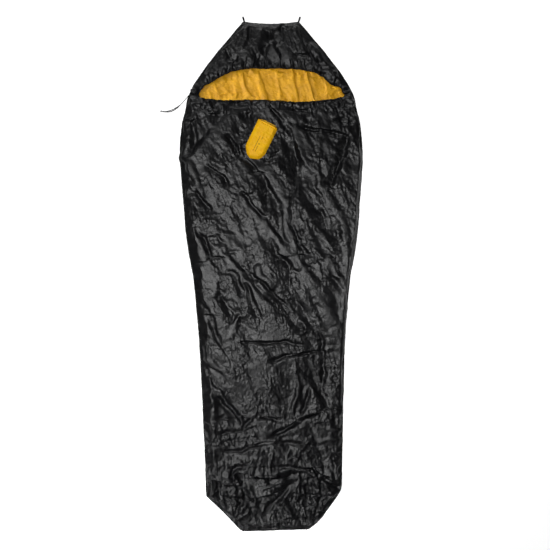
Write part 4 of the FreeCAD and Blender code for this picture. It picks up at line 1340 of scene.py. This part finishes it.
u, v = sack_grid(150, 84)
d = sack_edge_distance(u, v)
on_sack("sack_front", u, v, sack_front_height(u, v, d), SACK_PRINT)
z = 0.0232 + 0.0005 * facets(u, v, 0.016, 97) * ease(d, 0.001, 0.012)
on_sack("sack_back", u, v, z, SACK, turn=True)
path = sack_rim(*SACK_HEM_PATH.T, 0.0272, 0.0012, 0)
wobble = tube_noise(len(path), 0.0012, 12, 0.004, 0.007, 98)
tube = tube_points(path, 0.0027 + 0.0007 * wobble, 12, 1.25)
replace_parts(show("sack_hem_cloth", *tube, "stuff_sack", SACK_HEM, "yellow_sack"), "sack_hem")
down, up = np.linspace(0.084, -0.0885, 90), np.linspace(-0.0885, 0.080, 90)
sides = np.concatenate([sack_edges(down)[0], sack_edges(up)[1]])
path = sack_rim(sides, np.concatenate([down, up]), 0.0236, 0.0015, 3)
show("sack_seam", *tube_points(path, 0.0011, 8, 0.8), "stuff_sack", SACK_HEM, "yellow_sack")

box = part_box("sack_cord_knot")
middle = (np.array(box[0]) + np.array(box[1])) / 2
end = show("sack_knot", *knot(middle, 0.00125, 1.2), "stuff_sack", CORD, "cord")
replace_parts(end, "sack_cord_knot")

# ------------------------------------------------------------------ build: springs of the two cord locks


def coil_spring(lock):
    """A coil between a lock's barrel and its button."""
    press = next(j for j in frame["record"]["behaviour"]["joints"] if j["name"] == f"{lock}_press")
    inward = np.array(press["axis"])
    low, high = (np.array(corner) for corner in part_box(f"{lock}_spring"))
    length, radius, wire, turns = 0.0057, 0.0026, 0.00028, 4
    side = np.cross(inward, [0.0, 0.0, 1.0])
    t = np.linspace(0, 1, 24 * turns + 1)[:, None]
    angle = 2 * math.pi * turns * t
    path = (low + high) / 2 + inward * length * (t - 0.5)
    path = path + radius * (np.cos(angle) * side + np.sin(angle) * [0.0, 0.0, 1.0])
    ob = show(f"{lock}_coil", *tube_points(path, wire, 8, across=inward), lock, STEEL, "spring_steel")
    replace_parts(ob, f"{lock}_spring")
    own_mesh(ob)


for lock in ("mouth_lock", "sack_lock"):
    coil_spring(lock)

# ------------------------------------------------------------------ carried-over solids

for name, node in frame["nodes"].items():
    if node.hide_render:
        continue
    if "barrel" in name or "button" in name:
        finish = PLASTIC
    elif "patch" in name:
        finish = PATCH
    else:
        finish = CORD_SOLID
    node.data.materials.clear()
    node.data.materials.append(finish)

# ------------------------------------------------------------------ stage, lights and camera


def area(name, place, aim, size, power, spread=math.pi):
    """A soft light aimed at a place; a narrow spread keeps it off the rest of the cloth."""
    data = bpy.data.lights.new(name, "AREA")
    data.shape, data.size, data.size_y = "RECTANGLE", size[0], size[1]
    data.energy, data.spread = power, spread
    ob = bpy.data.objects.new(name, data)
    bpy.context.scene.collection.objects.link(ob)
    ob.location = place
    ob.rotation_mode = "QUATERNION"
    ob.rotation_quaternion = (Vector(aim) - Vector(place)).to_track_quat("-Z", "Y")
    return ob


bpy.ops.mesh.primitive_plane_add(size=30, location=(0, 0, -0.0008))
ground = bpy.context.object
ground.name = "floor"
n = Nodes("floor")
paper = n.noise(n.solid(), 40.0)
n.set(Base_Color=n.ramp(paper, (0.90, 0.90, 0.90), (0.94, 0.94, 0.94)), Roughness=0.9,
      Specular_IOR_Level=0.0, Emission_Color=(1, 1, 1, 1), Emission_Strength=0.60)
ground.data.materials.append(n.material)

key = bpy.data.lights.new("key", "SUN")
key.energy, key.angle = 0.42, math.radians(15)
key = bpy.data.objects.new("key", key)
bpy.context.scene.collection.objects.link(key)
key.rotation_mode = "QUATERNION"
key.rotation_quaternion = Vector((0.29, -0.02, -1)).to_track_quat("-Z", "Y")
area("softbox", (-0.66, -0.08, 2.5), (-0.05, -0.08, 0), (0.55, 1.5), 34.5)
grazing = area("mouth_fill", (-1.7, 0.98, 0.80), (0.03, 0.82, 0), (0.4, 0.4), 0.75, math.radians(26))
receivers = bpy.data.collections.new("lit_by_mouth_fill")
receivers.objects.link(lining)
grazing.light_linking.receiver_collection = receivers
area("head_fill", (-0.4, 3.6, 1.5), (0, 0.2, 0), (2.4, 1.0), 40)
area("foot_side", (-1.5, -1.7, 2.4), (0.05, -1.0, 0), (0.5, 0.5), 1.0, math.radians(30))
area("foot_fill", (-0.7, -2.6, 2.4), (0, -1.0, 0), (0.5, 0.5), 0.30, math.radians(30))
area("right_fill", (1.9, 0.10, 0.85), (0.15, 0.10, 0), (0.4, 0.4), 0.30, math.radians(30))
world = bpy.data.worlds.new("studio")
world.use_nodes = True
world.node_tree.nodes["Background"].inputs[0].default_value = (1, 1, 1, 1)
world.node_tree.nodes["Background"].inputs[1].default_value = 0.045
bpy.context.scene.world = world
bpy.context.scene.view_settings.view_transform = "Standard"

camera_data = bpy.data.cameras.new("camera")
camera_data.sensor_width, camera_data.lens = 36, 58.2
camera = bpy.data.objects.new("camera", camera_data)
bpy.context.scene.collection.objects.link(camera)
camera.location = (0.016, 0.007, 4.01)
bpy.context.scene.camera = camera
